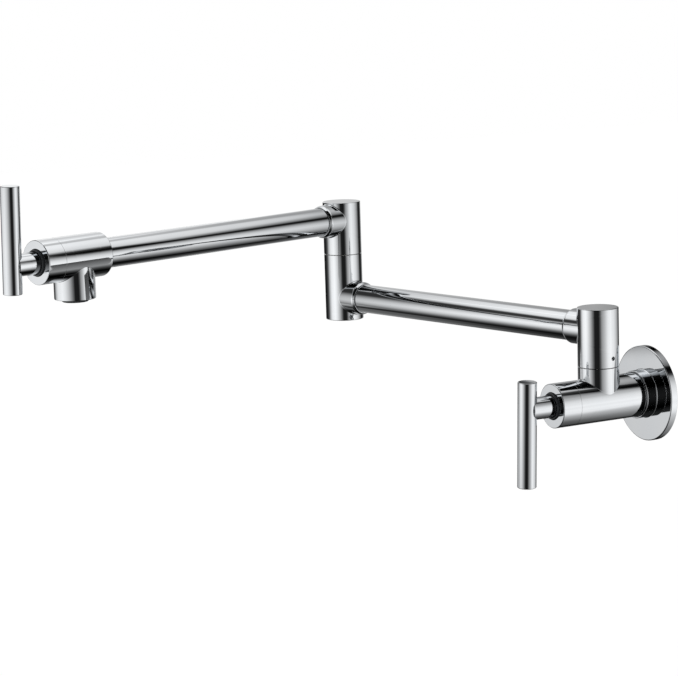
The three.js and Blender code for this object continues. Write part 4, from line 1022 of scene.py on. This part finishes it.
def black_card_painted_glow():
    """Painted light: the card's front glows near black, a little brighter towards its foot, and its
    back shows nothing.
    """
    m, tree, out = bare_material("black_card_painted_glow")
    where = add(tree, "ShaderNodeTexCoord").outputs["Object"]
    height = add(tree, "ShaderNodeSeparateXYZ", links={0: where}).outputs[2]
    (low, low_glow), (high, high_glow) = CARD_LOW, CARD_HIGH
    span = {"From Min": low, "From Max": high, "To Min": low_glow, "To Max": high_glow}
    # painted light: the card's glow falls from its foot to its top
    glow = add(tree, "ShaderNodeMapRange", span, {"Value": height})
    side = add(tree, "ShaderNodeNewGeometry")
    dark = add(tree, "ShaderNodeEmission", {"Color": (1, 1, 1, 1)}, {"Strength": glow.outputs[0]})
    clear = add(tree, "ShaderNodeBsdfTransparent")
    faces = {0: side.outputs["Backfacing"], 1: dark.outputs[0], 2: clear.outputs[0]}
    both = add(tree, "ShaderNodeMixShader", links=faces)
    tree.links.new(both.outputs[0], out.inputs["Surface"])
    return m


def black_card():
    """A strip of card beside the outlet body, as long as the body: the points are middle + a along
    + b up, with up square to the arm and to the way the card is seen."""
    arm_way = math.radians(SHOULDER + ELBOW)
    along = np.array([math.cos(arm_way), math.sin(arm_way), 0.0])
    up = np.cross(along, CARD_WAY)
    up /= np.linalg.norm(up)
    middle = CARD_FROM + CARD_AWAY * CARD_WAY
    left, right = middle - CARD_HALF * along, middle + CARD_HALF * along
    ends = [(left, CARD_FOOT), (right, CARD_FOOT), (right, CARD_TOP), (left, CARD_TOP)]
    corners = [(end + y * up).tolist() for end, y in ends]
    stage_piece("black_card", corners, [(0, 1, 2, 3)], black_card_painted_glow())


def floor_paper():
    """White matt paper. The camera alone sees a little glow on it, so that it and the space behind
    it come out the same white while the shadow stays."""
    m, tree, out = bare_material("floor_paper")
    matt = add(tree, "ShaderNodeBsdfDiffuse", {"Color": linear("FAFAFA")})
    path = add(tree, "ShaderNodeLightPath")
    faint = {"operation": "MULTIPLY", 1: PAPER_GLOW}
    seen = add(tree, "ShaderNodeMath", faint, {0: path.outputs["Is Camera Ray"]})
    glow = add(tree, "ShaderNodeEmission", {"Color": (1, 1, 1, 1)}, {"Strength": seen.outputs[0]})
    both = add(tree, "ShaderNodeAddShader", links={0: matt.outputs[0], 1: glow.outputs[0]})
    tree.links.new(both.outputs[0], out.inputs["Surface"])
    return m


def floor_sheet():
    """A flat sheet of paper well below the object."""
    r = FLOOR_REACH
    corners = [(-r, -r, FLOOR_Z), (r, -r, FLOOR_Z), (r, r, FLOOR_Z), (-r, r, FLOOR_Z)]
    stage_piece("studio_floor", corners, [(0, 1, 2, 3)], floor_paper(), reflected_only=False)


light_tent()
black_card()
floor_sheet()

world = bpy.data.worlds.new("studio")
bpy.context.scene.world = world
world.use_nodes = True
world.node_tree.nodes["Background"].inputs[0].default_value = (1, 1, 1, 1)
world.node_tree.nodes["Background"].inputs[1].default_value = 1.0

# The camera stands where the photograph was taken from: its axes are the rows of the fitted turn.
camera_data = bpy.data.cameras.new("camera")
camera = bpy.data.objects.new("camera", camera_data)
bpy.context.scene.collection.objects.link(camera)
camera.matrix_world = Matrix((
    (0.47197065, -0.13205801, 0.87166759, 1.203564),
    (0.88105152, 0.10597271, -0.46099674, -0.857762),
    (-0.03149466, 0.98556099, 0.16636592, 0.288421),
    (0, 0, 0, 1),
))
camera_data.sensor_fit = "HORIZONTAL"
camera_data.sensor_width = 36.0
camera_data.lens = 125.01
camera_data.clip_start = 0.01
camera_data.clip_end = 50
bpy.context.scene.camera = camera

bpy.context.scene.view_settings.view_transform = "Standard"
